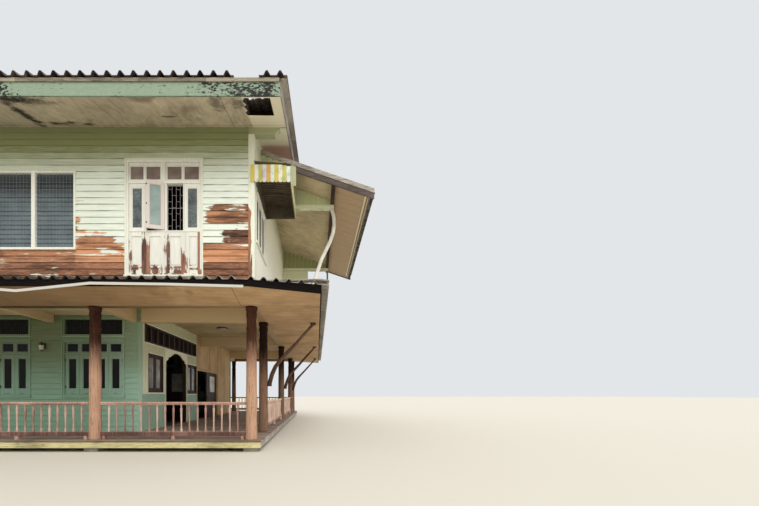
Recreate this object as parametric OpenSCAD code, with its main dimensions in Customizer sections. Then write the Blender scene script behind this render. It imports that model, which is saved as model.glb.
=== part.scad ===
// Two-storey timber house on posts. The upper floor stands on round posts over a
// veranda that wraps the front, the right side and the back, and part of the ground
// floor is walled in. X runs right along the front, Y runs back, Z up.
// The origin is under the footing of the front right post, at ground level.

/* [Plan] */
// Spacing of the posts along the front
bay = 3450; // [3300:10:3700]
// Depth of the front and rear verandas
veranda = 1600; // [1500:10:1900]
// Spacing of the posts along the side, between the verandas
room_bay = 4400; // [4300:10:4700]
// How far the deck reaches past the post lines
deck_out = 240; // [200:10:280]
// Thickness of the boarded walls
wall_t = 120; // [100:5:140]

/* [Levels] */
// Top of the deck over the ground
deck_top = 240; // [220:5:300]
// Underside of the floor beams over the deck
beam_low = 2925; // [2800:5:3000]
// Height of the floor beams
beam_h = 385; // [350:5:420]
// Depth of the upper floor, joists and boards
floor_h = 150; // [120:5:180]
// Height of the upper wall under its plate
upper_h = 3217; // [3150:1:3350]
// Height of the wall plates
plate_h = 180; // [150:5:200]

/* [Deck] */
// Width of the concrete footings
footing_w = 300; // [260:10:340]
// Height of the footings over the ground
footing_h = 90; // [80:5:120]
// Width of the bearers on the footings
bearer_w = 120; // [100:5:150]
// Height of the bearers
bearer_h = 60; // [50:5:70]
// Width of the deck joists
joist_w = 60; // [50:5:80]
// Thickness of the deck boards
board_t = 25; // [20:1:30]
// Thickness of the rim boards
rim_t = 28; // [22:1:34]

/* [Posts] */
// Radius of a post at its foot, over the flare
post_r = 122; // [110:1:135]
// Radius of a post under its capital
post_top_r = 108; // [95:1:115]
// Radius of the flared foot
foot_r = 165; // [150:1:180]
// Length of the carved capital
capital_h = 520; // [450:10:600]

/* [Balustrade] */
// Top of the handrail over the deck
rail_top = 830; // [780:5:900]
// Height of the handrail
rail_h = 60; // [50:5:70]
// Width of both rails
rail_w = 70; // [60:5:90]
// Gap under the bottom rail
rail_gap = 77; // [60:1:90]
// Height of the bottom rail
sill_h = 100; // [80:5:110]
// Spacing of the balusters
baluster_pitch = 208; // [190:2:230]
// Radius of a baluster at its ends
baluster_r = 27; // [22:1:30]
// Radius of a baluster at its waist
waist_r = 14; // [12:1:18]
// Gap between a rail and a post
rail_end = 3; // [2:1:6]

/* [Lower rooms] */
// Gap between the second post line and the outer face of the side wall
side_wall_in = 190; // [150:5:230]
// Width of a wide lower window
low_win_w = 1640; // [1560:10:1680]
// Width of the narrow lower window
low_win_narrow = 900; // [800:10:1000]
// Distance of the first lower window's middle from the side wall
low_win_first = 1285; // [1200:5:1350]
// Spacing of the lower windows
low_win_step = 2515; // [2450:5:2560]
// Sill of the lower windows over the deck
low_sill = 940; // [880:10:980]
// Height of the lower windows
low_win_h = 1500; // [1450:10:1540]
// Height of the sill of the vents over the deck
vent_low = 2560; // [2520:10:2600]
// Height of the vents
vent_h = 490; // [440:10:520]

/* [Side doorways] */
// Start of the arched doorway behind the front of the side wall
arch_from = 1320; // [1290:5:1360]
// Clear width of the arched doorway
arch_w = 1600; // [1500:10:1640]
// Height of the arch where it springs
arch_spring = 2100; // [2000:10:2140]
// Rise of the arch
arch_rise = 220; // [180:5:240]
// Width of the white casing round the arch
arch_case = 40; // [30:1:50]
// Width of the wall between the far side window and the double doorway
door_from = 30; // [20:5:80]
// Width of the double doorway in the wall
door_w = 2720; // [2600:10:2800]
// Height of the double doorway
door_h = 2000; // [1950:10:2050]
// Width of the door's jambs
jamb_w = 60; // [50:2:70]
// Thickness of a door leaf
leaf_t = 40; // [35:1:45]
// Clearance round a door leaf
leaf_gap = 5; // [5:0.5:8]
// Clearance under a door leaf
leaf_under = 10; // [8:1:14]
// Radius of the hinge knuckles
knuckle_r = 8; // [7:0.5:9]

/* [Upper windows] */
// Distance of the tall window from the corner
tall_from = 1065; // [1000:5:1150]
// Width of the tall window
tall_w = 1665; // [1600:5:1700]
// Sill of the tall window over the deck
tall_sill = 3600; // [3560:10:3640]
// Height of the wall over the tall window, under the plate
tall_head = 547; // [480:1:600]
// Height of the rail between the panels and the glass, over the deck
tall_mid = 4594; // [4500:2:4700]
// Height of the top lights with their rail
tall_lights_h = 465; // [430:5:500]
// Distance of the louvred window from the second post line
louvre_from = 400; // [350:5:450]
// Width of one louvred pane
louvre_w = 980; // [900:5:990]
// Sill of the louvred window over the deck
louvre_sill = 4185; // [4100:5:4250]
// Height of the louvred window
louvre_h = 1700; // [1600:10:1750]
// Distance of the upper side window from the corner
side_win_from = 150; // [130:5:200]
// Width of the upper side windows
side_win_w = 1300; // [1200:10:1320]
// Sill of the upper side windows over the deck
side_win_sill = 4450; // [4400:10:4500]
// Height of the upper side windows
side_win_h = 1200; // [1150:10:1210]

/* [Main roof] */
// Rise of the main roof for each unit of run
slope = 0.306; // [0.28:0.002:0.33]
// Overhang at front and back, from the post line
eave_out = 1200; // [1100:10:1250]
// Overhang at the gables, to the verge board
verge_out = 790; // [700:10:850]
// Thickness of the soffit sheets
soffit_t = 12; // [8:1:15]
// Height of the rafters
rafter_h = 240; // [220:5:260]
// Width of the rafters
rafter_w = 50; // [40:2:60]
// Height of the purlins
purlin_h = 88; // [75:1:100]
// Spacing of the purlins
purlin_step = 1100; // [1000:10:1200]
// Spacing of the ribs of the roof sheets
rib_pitch = 243; // [230:1:260]
// Height of the ribs
rib_h = 70; // [50:1:80]
// Thickness of the roof sheets
sheet_t = 8; // [6:1:10]
// Thickness of the fascia and verge boards
fascia_t = 25; // [20:1:30]

/* [Side roof] */
// Start of the side roof behind the front post line
side_roof_from = 800; // [700:10:900]
// Length of the side roof past the third post line
side_roof_past = 500; // [400:10:600]
// Reach of the side roof from the post line
side_roof_out = 2850; // [2600:10:2900]
// Rise of the side roof at the wall over the top of the upper wall
side_roof_rise = 113; // [60:1:140]
// Fall of the side roof for each unit of run
side_slope = 0.34; // [0.33:0.002:0.37]
// Height of its rafters
side_rafter_h = 100; // [90:5:110]
// Height of its ribs
side_rib_h = 40; // [30:1:45]
// Depth of the outrigger beams' underside under the side roof's top
rail_beam_drop = 990; // [950:10:1070]
// Height of the outrigger beams
rail_beam_h = 100; // [90:5:120]
// Reach of the outrigger beams from the post line
rail_beam_out = 1900; // [1850:10:2050]
// Width of the long beam on the outriggers
long_beam_w = 90; // [80:5:100]
// Radius of the slender post under the rear outrigger
slender_r = 35; // [28:1:40]
// Length of the slender post
slender_h = 340; // [280:10:360]

/* [Lower roof] */
// Overhang of the lower roof at front and back
low_out = 1000; // [950:10:1050]
// Overhang of the lower roof on the right
low_side_out = 1680; // [1600:10:1750]
// Reach of the side soffit from the post line
low_soffit_out = 1510; // [1450:10:1550]
// Top of the roof's ribs where it meets the wall, over the floor beams
low_wall_rise = 138; // [120:2:150]
// Top of the ribs along the front edge, over the underside of the beams
low_edge_rise = 335; // [320:5:345]
// Top of the ribs along the right edge, over the underside of the beams
low_side_rise = 220; // [210:5:235]
// Rise of the front soffit to its outer edge
low_soffit_rise = 145; // [120:5:150]
// Gap between the front soffit's outer edge and the sheets' edge
low_lip = 50; // [40:5:60]
// Height of the ribs of the lower roof
low_rib_h = 60; // [50:1:65]
// How far the lower roof passes the left wall
low_left_out = 350; // [250:10:400]

/* [Braces and small pieces] */
// Radius of the curved braces
brace_r = 38; // [32:1:42]
// Radius of the rain pipe
pipe_r = 48; // [40:1:50]
// Reach of the awning from the wall
awning_out = 810; // [780:10:900]
// Height of the awning's striped sides
awning_h = 410; // [380:5:430]
// Rise of the awning's underside over the side window's head
awning_rise = 40; // [5:5:60]
// Clearance where a piece is seated on a sloping one
seat = 0.3; // [0.2:0.1:0.5]

/* [Hidden] */
$fn = 40;
eps = 1;

// Post lines
bays = 3;
left_x = -bays * bay;
line_b = veranda;
line_c = veranda + room_bay;
line_d = veranda + 2 * room_bay;
line_e = 2 * veranda + 2 * room_bay;
mid_y = line_e / 2;
half_wall = wall_t / 2;

// Levels over the ground
z_low = deck_top + beam_low;
z_high = z_low + beam_h;
z_floor = z_high + floor_h;
z_plate = z_floor + upper_h;
z_wall = z_plate + plate_h;

// Levels over the deck that follow the upper wall and its windows
tall_top = z_plate - deck_top - tall_head;
tall_light = tall_top - tall_lights_h;
side_roof_top = z_wall - deck_top + side_roof_rise;
rail_beam_z = side_roof_top - rail_beam_drop;
awning_low = side_win_sill + side_win_h + awning_rise;

// Outer faces of the house
wall_left = left_x - half_wall;
wall_right = half_wall;
wall_front = -half_wall;
wall_back = line_e + half_wall;
side_wall_x = -bay + side_wall_in;
room_front = line_b - half_wall;
room_back = line_d + half_wall;

// Half width of a floor beam and of a cross beam
beam_half = 100;
cross_half = 75;

mint = "#b5cdae";
cream = "#d8d3b8";
tan_paint = "#b59a72";
brown = "#6b4030";
dark = "#2e2622";
grey_wood = "#8a8378";

// A box from its low corner to its high corner
module block(lo, hi) translate(lo) cube(hi - lo);

// An outline in x and z, from the front face y0 to the back face y1
module xz_prism(points, y0, y1)
    translate([0, y1, 0]) rotate([90, 0, 0]) linear_extrude(y1 - y0) polygon(points);

// An outline in y and z, from the left face x0 to the right face x1
module yz_prism(points, x0, x1)
    translate([x0, 0, 0]) rotate([90, 0, 90]) linear_extrude(x1 - x0) polygon(points);

// The same shape again at the back of the house
module front_and_back() {
    children();
    translate([0, line_e, 0]) mirror([0, 1, 0]) children();
}

// A shape of the right bay made again in the left bay
module both_sides() {
    children();
    translate([left_x, 0, 0]) mirror([1, 0, 0]) children();
}

// Footings and deck

module footings() color("#9a958a")
    for (i = [0:bays], y = [0, line_b, line_c, line_d, line_e])
        block([-i * bay - footing_w / 2, y - footing_w / 2, 0],
              [-i * bay + footing_w / 2, y + footing_w / 2, footing_h]);

deck_right = deck_out;
deck_front = -deck_out;
deck_back = line_e + deck_out;
joist_low = footing_h + bearer_h;
joist_high = deck_top - board_t;
joists_per_bay = 3;

module deck_frame() color(grey_wood) {
    for (y = [0, line_b, line_c, line_d, line_e])
        block([wall_left + rim_t, y - bearer_w / 2, footing_h],
              [deck_right - rim_t, y + bearer_w / 2, joist_low]);
    for (i = [0:bays * joists_per_bay]) {
        x = -i * bay / joists_per_bay + (i == bays * joists_per_bay ? rim_t : 0);
        block([x - joist_w / 2, deck_front + rim_t, joist_low - eps],
              [x + joist_w / 2, deck_back - rim_t, joist_high]);
    }
}

module rim_boards() color("#a7ab72") difference() {
    block([wall_left, deck_front, footing_h], [deck_right, deck_back, joist_high]);
    block([wall_left + rim_t, deck_front + rim_t, 0],
          [deck_right - rim_t, deck_back - rim_t, deck_top]);
}

module veranda_deck() color("#7d675c") difference() {
    block([wall_left, deck_front, joist_high], [deck_right, deck_back, deck_top]);
    block([wall_left - eps, room_front, 0], [side_wall_x, room_back, deck_top + eps]);
}

module house_floor() color("#8b7a66")
    block([wall_left, room_front, joist_high], [side_wall_x, room_back, deck_top]);

// Posts

// Outline of a turned log post: flared foot, slow taper and a notched capital
post_h = z_low - deck_top;
post_line = [[0, 0], [foot_r, 0], [foot_r, 60], [foot_r - 14, 110], [post_r + 8, 190],
    [post_r, 320], [post_r - 4, post_h * 0.45], [post_top_r, post_h - capital_h],
    [post_top_r + 8, post_h - capital_h + 30], [post_top_r + 8, post_h - capital_h + 60],
    [post_top_r - 6, post_h - capital_h + 90], [post_top_r - 2, post_h - 220],
    [post_top_r + 10, post_h - 190], [post_top_r + 10, post_h - 150],
    [post_top_r, post_h - 130], [post_top_r + 20, post_h - 60], [post_top_r + 20, post_h],
    [0, post_h]];

module post(x, y)
    translate([x, y, deck_top]) rotate_extrude() polygon(post_line);

module front_posts() color(brown) for (i = [0:bays]) post(-i * bay, 0);
module back_posts() color(brown) {
    for (y = [line_b, line_c, line_d]) post(0, y);
    for (i = [0:bays]) post(-i * bay, line_e);
}

// Floor beams, upper floor and veranda ceiling

module floor_beams() color(tan_paint) {
    block([wall_left, -beam_half, z_low], [beam_half, beam_half, z_high]);
    block([wall_left, line_e - beam_half, z_low], [beam_half, line_e + beam_half, z_high]);
    block([-beam_half, beam_half - eps, z_low], [beam_half, line_e - beam_half + eps, z_high]);
}

// Middles of the beams that cross the front and rear verandas
veranda_beams = [-bay, -1.645 * bay, -2.34 * bay, left_x + cross_half - half_wall];

module cross_beams() color(tan_paint) {
    for (y = [line_b, line_c, line_d])
        block([side_wall_x, y - cross_half, z_low], [-beam_half, y + cross_half, z_high]);
    for (x = veranda_beams) front_and_back()
        block([x - cross_half, beam_half, z_low], [x + cross_half, room_front, z_high]);
}

floor_joist_w = 50;
floor_joist_step = 548;
floor_board_t = 28;

module upper_floor() color("#8b7355") {
    block([wall_left, wall_front, z_floor - floor_board_t], [wall_right, wall_back, z_floor]);
    for (y = [wall_front:floor_joist_step:wall_back - floor_joist_w])
        block([wall_left, y, z_high], [wall_right, y + floor_joist_w, z_floor - floor_board_t + eps]);
}

ceiling_t = 12;
// The ceiling over the covered bays of the verandas hangs lower
low_ceiling_rise = 195;
low_ceiling = z_low + low_ceiling_rise;

module veranda_ceiling() color("#c4b898") {
    for (i = [0:len(veranda_beams) - 2]) front_and_back()
        block([veranda_beams[i + 1] + cross_half, beam_half, low_ceiling],
              [veranda_beams[i] - cross_half, room_front, low_ceiling + ceiling_t]);
    front_and_back()
        block([-bay + cross_half, beam_half, z_high - ceiling_t],
              [-beam_half, line_b - cross_half, z_high]);
    for (y = [line_b, line_c])
        block([side_wall_x, y + cross_half, z_high - ceiling_t],
              [-beam_half, y + room_bay - cross_half, z_high]);
}

// Windows

frame_w = 50;
frame_proud = 10;
frame_depth = wall_t + 2 * frame_proud;
leaf_depth = 40;
glass_t = 6;
stile_w = 75;
leaf_foot = 190;
light_h = 275;
light_gap = 50;

// A framed window in x and z, from its low left corner, with its middle in the wall's.
// Each leaf is a glazed stile and rail frame; lights is the height of the top lights
module window(w, h, leaves, lights = 0, foot = stile_w) {
    inner_w = w - 2 * frame_w;
    pitch = inner_w / leaves;
    light_z = h - frame_w - lights;
    leaf_top = lights > 0 ? light_z - light_gap : h - frame_w;
    difference() {
        block([0, -frame_depth / 2, 0], [w, frame_depth / 2, h]);
        block([frame_w, -frame_depth, frame_w], [w - frame_w, frame_depth, h - frame_w]);
    }
    difference() {
        block([frame_w - eps, -leaf_depth / 2, frame_w - eps],
              [w - frame_w + eps, leaf_depth / 2, h - frame_w + eps]);
        for (i = [0:leaves - 1]) {
            x0 = frame_w + i * pitch;
            block([x0 + stile_w, -leaf_depth, frame_w + foot],
                  [x0 + pitch - stile_w, leaf_depth, leaf_top - stile_w]);
            if (lights > 0)
                block([x0 + stile_w / 2, -leaf_depth, light_z],
                      [x0 + pitch - stile_w / 2, leaf_depth, h - frame_w - stile_w / 4]);
        }
    }
    block([frame_w, -glass_t / 2, frame_w], [w - frame_w, glass_t / 2, h - frame_w]);
}

// A slatted vent over a window
slat_pitch = 60;
slat_t = 10;
module vent(w, h) {
    difference() {
        block([0, -frame_depth / 2, 0], [w, frame_depth / 2, h]);
        block([frame_w, -frame_depth, frame_w], [w - frame_w, frame_depth, h - frame_w]);
    }
    block([frame_w - eps, -slat_t / 2, frame_w - eps],
          [w - frame_w + eps, slat_t / 2, h - frame_w + eps]);
    for (x = [frame_w + slat_pitch:slat_pitch:w - frame_w - slat_pitch / 2])
        block([x, -leaf_depth / 2, frame_w - eps], [x + slat_t, leaf_depth / 2, h - frame_w + eps]);
}

// Puts a window drawn in x and z into a wall that runs along y, from y upward
module in_side_wall(x, y) translate([x, y, 0]) rotate([0, 0, 90]) children();

// Left edge and width of each lower window, and the number of its leaves
low_windows = [
    [side_wall_x - low_win_first - low_win_w / 2, low_win_w, 4],
    [side_wall_x - low_win_first - low_win_step - low_win_w / 2, low_win_w, 4],
    [left_x + 550, low_win_narrow, 2]];
left_windows = [[line_b + 1000, low_win_w, 4], [line_c + 1000, low_win_w, 4]];
side_wall_mid = side_wall_x - half_wall;

// Windows of the side wall beside the arch, as start, width, sill and top over the deck
near_win_from = 280;
near_win_to = arch_from - 150;
near_win_sill = 1050;
near_win_top = 2150;
far_win_from = arch_from + arch_w + 60;
far_win_w = 930;
far_win_sill = 1010;
far_win_top = 2090;
side_vent_from = 80;
side_vent_to = far_win_from + far_win_w - 20;
side_vent_low = 2440;
side_vent_top = 2940;
side_win_a = [line_b + near_win_from, near_win_to - near_win_from, near_win_sill, near_win_top];
side_win_b = [line_b + far_win_from, far_win_w, far_win_sill, far_win_top];
side_vent = [line_b + side_vent_from, side_vent_to - side_vent_from, side_vent_low, side_vent_top];

module low_window_set(y)
    for (w = low_windows) translate([w[0], y, deck_top]) {
        translate([0, 0, low_sill]) window(w[1], low_win_h, w[2], light_h, leaf_foot);
        translate([0, 0, vent_low]) vent(w[1], vent_h);
    }

module front_lower_windows() color("#8fae96") low_window_set(line_b);

module back_lower_windows() color("#8fae96") {
    translate([0, line_b + line_d, 0]) mirror([0, 1, 0]) low_window_set(line_b);
    for (w = left_windows) in_side_wall(left_x, w[0]) translate([0, 0, deck_top]) {
        translate([0, 0, low_sill]) window(w[1], low_win_h, w[2], light_h, leaf_foot);
        translate([0, 0, vent_low]) vent(w[1], vent_h);
    }
}

module side_windows() color("#4b3528") {
    for (w = [side_win_a, side_win_b]) in_side_wall(side_wall_mid, w[0])
        translate([0, 0, deck_top + w[2]]) window(w[1], w[3] - w[2], 2);
    in_side_wall(side_wall_mid, side_vent[0])
        translate([0, 0, deck_top + side_vent[2]]) vent(side_vent[1], side_vent[3] - side_vent[2]);
}

// Walls of the lower rooms

// Holes for the windows and vents of a wall that runs along x
module low_holes(y)
    for (w = low_windows) {
        block([w[0], y - wall_t, deck_top + low_sill],
              [w[0] + w[1], y + wall_t, deck_top + low_sill + low_win_h]);
        block([w[0], y - wall_t, deck_top + vent_low],
              [w[0] + w[1], y + wall_t, deck_top + vent_low + vent_h]);
    }

module lower_front_wall() color("#9dbf9f") difference() {
    block([wall_left, room_front, deck_top], [side_wall_x, room_front + wall_t, z_high]);
    low_holes(line_b);
}

module lower_rear_wall() color("#9dbf9f") difference() {
    block([wall_left, room_back - wall_t, deck_top], [side_wall_x, room_back, z_high]);
    low_holes(line_d);
}

module lower_left_wall() color("#9dbf9f") difference() {
    block([wall_left, room_front + wall_t, deck_top],
          [wall_left + wall_t, room_back - wall_t, z_high]);
    for (w = left_windows) {
        block([wall_left - eps, w[0], deck_top + low_sill],
              [wall_left + wall_t + eps, w[0] + w[1], deck_top + low_sill + low_win_h]);
        block([wall_left - eps, w[0], deck_top + vent_low],
              [wall_left + wall_t + eps, w[0] + w[1], deck_top + vent_low + vent_h]);
    }
}

arch_y0 = line_b + arch_from;
arch_y1 = arch_y0 + arch_w;
door_y0 = side_win_b[0] + far_win_w + door_from;
door_y1 = door_y0 + door_w;

// A slab of the side wall from y0 to y1 and from z0 to z1, over the deck
module side_slab(y0, y1, z0, z1)
    block([side_wall_x - wall_t, y0, deck_top + z0], [side_wall_x, y1, deck_top + z1]);

// The same slab cut for a window given as start, width, sill and top
module side_hole(w)
    block([side_wall_x - 2 * wall_t, w[0], deck_top + w[2]],
          [side_wall_x + wall_t, w[0] + w[1], deck_top + w[3]]);

head_z = arch_spring;
wall_full = z_high - deck_top;

module side_wall_corner() color(cream) difference() {
    side_slab(room_front + wall_t, arch_y0 - arch_case, 0, head_z);
    side_hole(side_win_a);
}

module side_wall_middle() color(cream) difference() {
    side_slab(arch_y1 + arch_case, door_y0, 0, head_z);
    side_hole(side_win_b);
}

// Outline of the arch in y and z, widened by the casing's width m
arch_steps = 24;
function arch_point(t, m) = let (a = 180 * t, half = arch_w / 2 + m)
    [-half * cos(a), arch_spring + (arch_rise + m) * pow(sin(a), 1.4)];
function arch_outline(m) = concat(
    [[-arch_w / 2 - m, 0]],
    [for (i = [0:arch_steps]) arch_point(i / arch_steps, m)],
    [[arch_w / 2 + m, 0]]);

module arch_shape(m, x0, x1)
    translate([0, (arch_y0 + arch_y1) / 2, deck_top]) yz_prism(arch_outline(m), x0, x1);

module side_wall_head() color(cream) difference() {
    side_slab(room_front + wall_t, door_y0, head_z, wall_full);
    arch_shape(arch_case, side_wall_x - 2 * wall_t, side_wall_x + wall_t);
    side_hole(side_win_a);
    side_hole(side_vent);
}

module ply_wall_over_door() color("#b29b78") side_slab(door_y0, door_y1, door_h, wall_full);
module ply_wall_rear() color("#b29b78") side_slab(door_y1, room_back - wall_t, 0, wall_full);

module arch_casing() color("#dfe0d4") difference() {
    arch_shape(arch_case, side_wall_x - wall_t - frame_proud, side_wall_x + frame_proud);
    arch_shape(0, side_wall_x - 2 * wall_t, side_wall_x + wall_t);
    block([side_wall_x - 2 * wall_t, arch_y0, 0],
          [side_wall_x + wall_t, arch_y1, deck_top + arch_spring / 4]);
}

// Double door

door_face = side_wall_x - wall_t;
hinge_x = door_face - knuckle_r - 2;
hinge_off = 2.5;
leaf_h = door_h - jamb_w - leaf_under - leaf_gap;
leaf_w = door_w / 2 - jamb_w - leaf_gap - leaf_gap / 2;
hinge_h = 50;
hinge_plate = 4;
hinge_zs = [250, leaf_h / 2, leaf_h - 300];

module door_frame() color("#b29b78") {
    difference() {
        block([door_face, door_y0, deck_top], [side_wall_x + frame_proud, door_y1, deck_top + door_h]);
        block([door_face - eps, door_y0 + jamb_w, 0],
              [side_wall_x + wall_t, door_y1 - jamb_w, deck_top + door_h - jamb_w]);
    }
    for (z = hinge_zs) {
        near_hinge() frame_knuckle(z);
        far_hinge() frame_knuckle(z);
    }
}

// The hinge lines at the inner corners of the jambs
module near_hinge() translate([hinge_x, door_y0 + jamb_w + hinge_off, deck_top + leaf_under])
    children();
module far_hinge() translate([hinge_x, door_y1 - jamb_w - hinge_off, deck_top + leaf_under])
    mirror([0, 1, 0]) children();

module frame_knuckle(z) {
    translate([0, 0, z]) cylinder(r = knuckle_r, h = hinge_h);
    block([0, -jamb_w / 2, z], [door_face - hinge_x, 0, z + hinge_h]);
}

// A leaf from its hinge line, closed: it runs toward +y and lies in the doorway
leaf_x = door_face - hinge_x + leaf_gap;
leaf_y = leaf_gap - hinge_off;
leaf_stile = 110;
leaf_mid = 900;
leaf_panel_t = 14;

module door_leaf() {
    difference() {
        block([leaf_x, leaf_y, 0], [leaf_x + leaf_t, leaf_y + leaf_w, leaf_h]);
        block([0, leaf_y + leaf_stile, leaf_stile],
              [leaf_x + 2 * leaf_t, leaf_y + leaf_w - leaf_stile, leaf_mid - leaf_stile]);
        block([0, leaf_y + leaf_stile, leaf_mid],
              [leaf_x + 2 * leaf_t, leaf_y + leaf_w - leaf_stile, leaf_h - leaf_stile]);
    }
    block([leaf_x + (leaf_t - leaf_panel_t) / 2, leaf_y + leaf_stile - eps, leaf_stile - eps],
          [leaf_x + (leaf_t + leaf_panel_t) / 2, leaf_y + leaf_w - leaf_stile + eps,
           leaf_h - leaf_stile + eps]);
    for (z = hinge_zs) {
        translate([0, 0, z + hinge_h + seat]) cylinder(r = knuckle_r, h = hinge_h);
        block([0, -hinge_plate / 2, z + hinge_h + seat],
              [leaf_x + eps, hinge_plate / 2, z + 2 * hinge_h + seat]);
        block([leaf_x - hinge_plate, -hinge_plate / 2, z + hinge_h + seat],
              [leaf_x + eps, leaf_y + leaf_stile, z + 2 * hinge_h + seat]);
    }
}

// The near leaf stands open into the room, the far one is shut
module near_door_leaf() color("#3a2a22") near_hinge() rotate([0, 0, 90]) door_leaf();
module far_door_leaf() color("#3a2a22") far_hinge() door_leaf();

// Upper walls

// Height of the underside of the rafters, from the front eave to the ridge and down
z_eave = z_wall - slope * (eave_out - half_wall);
function rafter_z(y) = z_eave + slope * (mid_y - abs(y - mid_y) + eave_out);

tall_x = -tall_from - tall_w;
louvre_x = -bay - louvre_from - 3 * louvre_w;

// Holes of an upper wall along x, from its middle y
module upper_front_holes(y) {
    both_sides() block([tall_x, y - wall_t, deck_top + tall_sill],
                       [tall_x + tall_w, y + wall_t, deck_top + tall_top]);
    block([louvre_x, y - wall_t, deck_top + louvre_sill],
          [louvre_x + 3 * louvre_w, y + wall_t, deck_top + louvre_sill + louvre_h]);
}

module upper_front_wall() color("#c3d1b0") difference() {
    block([wall_left, wall_front, z_floor], [wall_right, wall_front + wall_t, z_plate]);
    upper_front_holes(0);
}

rear_win_w = 1600;
rear_win_x = [for (i = [0:bays - 1]) -(i + 0.5) * bay - rear_win_w / 2];

module upper_rear_wall() color("#c3d1b0") difference() {
    block([wall_left, wall_back - wall_t, z_floor], [wall_right, wall_back, z_plate]);
    for (x = rear_win_x)
        block([x, wall_back - 2 * wall_t, deck_top + louvre_sill],
              [x + rear_win_w, wall_back + wall_t, deck_top + louvre_sill + louvre_h]);
}

side_win_y = [side_win_from, line_e - side_win_from - side_win_w];

// A gable wall between the front and rear walls, up to the rafters
module gable_wall(x) difference() {
    yz_prism([[wall_front + wall_t, z_floor], [wall_back - wall_t, z_floor],
              [wall_back - wall_t, rafter_z(wall_back - wall_t) - seat],
              [mid_y, rafter_z(mid_y) - seat],
              [wall_front + wall_t, rafter_z(wall_front + wall_t) - seat]],
             x - half_wall, x + half_wall);
    for (y = side_win_y)
        block([x - wall_t, y, deck_top + side_win_sill],
              [x + wall_t, y + side_win_w, deck_top + side_win_sill + side_win_h]);
}

module upper_right_wall() color("#cfd3ba") gable_wall(0);
module upper_left_wall() color("#cfd3ba") gable_wall(left_x);

plate_out = 630;
plate_notch = 110;
module wall_plates() color("#b9c4a2") front_and_back()
    xz_prism([[left_x - plate_out + plate_notch, z_plate], [plate_out - plate_notch, z_plate],
              [plate_out - plate_notch * 0.8, z_plate + plate_h * 0.25],
              [plate_out - plate_notch * 0.35, z_plate + plate_h * 0.6],
              [plate_out, z_plate + plate_h * 0.75], [plate_out, z_wall],
              [left_x - plate_out, z_wall], [left_x - plate_out, z_plate + plate_h * 0.75],
              [left_x - plate_out + plate_notch * 0.35, z_plate + plate_h * 0.6],
              [left_x - plate_out + plate_notch * 0.8, z_plate + plate_h * 0.25]],
             wall_front, wall_front + wall_t);

// Upper windows

tall_stile = 90;
module tall_window() {
    h = tall_top - tall_sill;
    mid = tall_mid - tall_sill;
    light = tall_light - tall_sill;
    pitch = (tall_w - 2 * frame_w) / 4;
    difference() {
        block([0, -frame_depth / 2, 0], [tall_w, frame_depth / 2, h]);
        block([frame_w, -frame_depth, frame_w], [tall_w - frame_w, frame_depth, h - frame_w]);
    }
    difference() {
        block([frame_w - eps, -leaf_depth / 2, frame_w - eps],
              [tall_w - frame_w + eps, leaf_depth / 2, h - frame_w + eps]);
        for (i = [0, 3])
            block([frame_w + i * pitch + tall_stile, -leaf_depth, mid + tall_stile / 2],
                  [frame_w + (i + 1) * pitch - tall_stile, leaf_depth, light - tall_stile]);
        for (i = [1, 2])
            block([frame_w + i * pitch + frame_w / 2, -leaf_depth, mid],
                  [frame_w + (i + 1) * pitch - frame_w / 2, leaf_depth, light]);
        for (i = [0:3])
            block([frame_w + i * pitch + frame_w / 2, -leaf_depth, light + frame_w],
                  [frame_w + (i + 1) * pitch - frame_w / 2, leaf_depth, h - frame_w * 1.5]);
    }
    for (i = [0, 3])
        block([frame_w + i * pitch + tall_stile - eps, -glass_t / 2, mid],
              [frame_w + (i + 1) * pitch - tall_stile + eps, glass_t / 2, light]);
    block([frame_w, -glass_t / 2, light + frame_w / 2], [tall_w - frame_w, glass_t / 2, h - frame_w]);
}

module tall_windows() color("#d7ddcf")
    both_sides() translate([tall_x, 0, deck_top + tall_sill]) tall_window();

// The second leaf stands ajar, hung on the middle post of the window
ajar = 15;
casement_w = (tall_w - 2 * frame_w) / 4 - 8;
casement_stile = 75;
module open_casements() color("#d9cfc6") both_sides()
    translate([tall_x + tall_w / 2, -leaf_depth / 2 - seat, deck_top + tall_mid + 10])
        rotate([0, 0, ajar]) {
            h = tall_light - tall_mid - 20;
            difference() {
                block([-casement_w, -leaf_t, 0], [0, 0, h]);
                block([-casement_w + casement_stile, -2 * leaf_t, casement_stile],
                      [-casement_stile, leaf_t, h - casement_stile]);
            }
            block([-casement_w + casement_stile - eps, -leaf_t / 2 - glass_t / 2, casement_stile - eps],
                  [-casement_stile + eps, -leaf_t / 2 + glass_t / 2, h - casement_stile + eps]);
        }

// Glass blades lap in a frame of n panes
blade_pitch = 100;
blade_h = 112;
blade_tilt = 18;
module louvres(n, pane, h) {
    difference() {
        block([0, -frame_depth / 2, 0], [n * pane, frame_depth / 2, h]);
        for (i = [0:n - 1])
            block([i * pane + frame_w / 2, -frame_depth, frame_w / 2],
                  [(i + 1) * pane - frame_w / 2, frame_depth, h - frame_w / 2]);
    }
    for (i = [0:n - 1], z = [frame_w / 2:blade_pitch:h - frame_w - blade_h / 2])
        translate([i * pane + frame_w / 2 - eps, 0, z]) rotate([-blade_tilt, 0, 0])
            cube([pane - frame_w + 2 * eps, glass_t, blade_h]);
}

module louvred_window() color("#7d8f97")
    translate([louvre_x, 0, deck_top + louvre_sill]) louvres(3, louvre_w, louvre_h);

module upper_back_windows() color("#dcded2") {
    for (x = rear_win_x)
        translate([x, line_e, deck_top + louvre_sill]) mirror([0, 1, 0])
            louvres(2, rear_win_w / 2, louvre_h);
    for (x = [0, left_x], y = side_win_y)
        in_side_wall(x, y) translate([0, 0, deck_top + side_win_sill]) window(side_win_w, side_win_h, 3);
}

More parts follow.
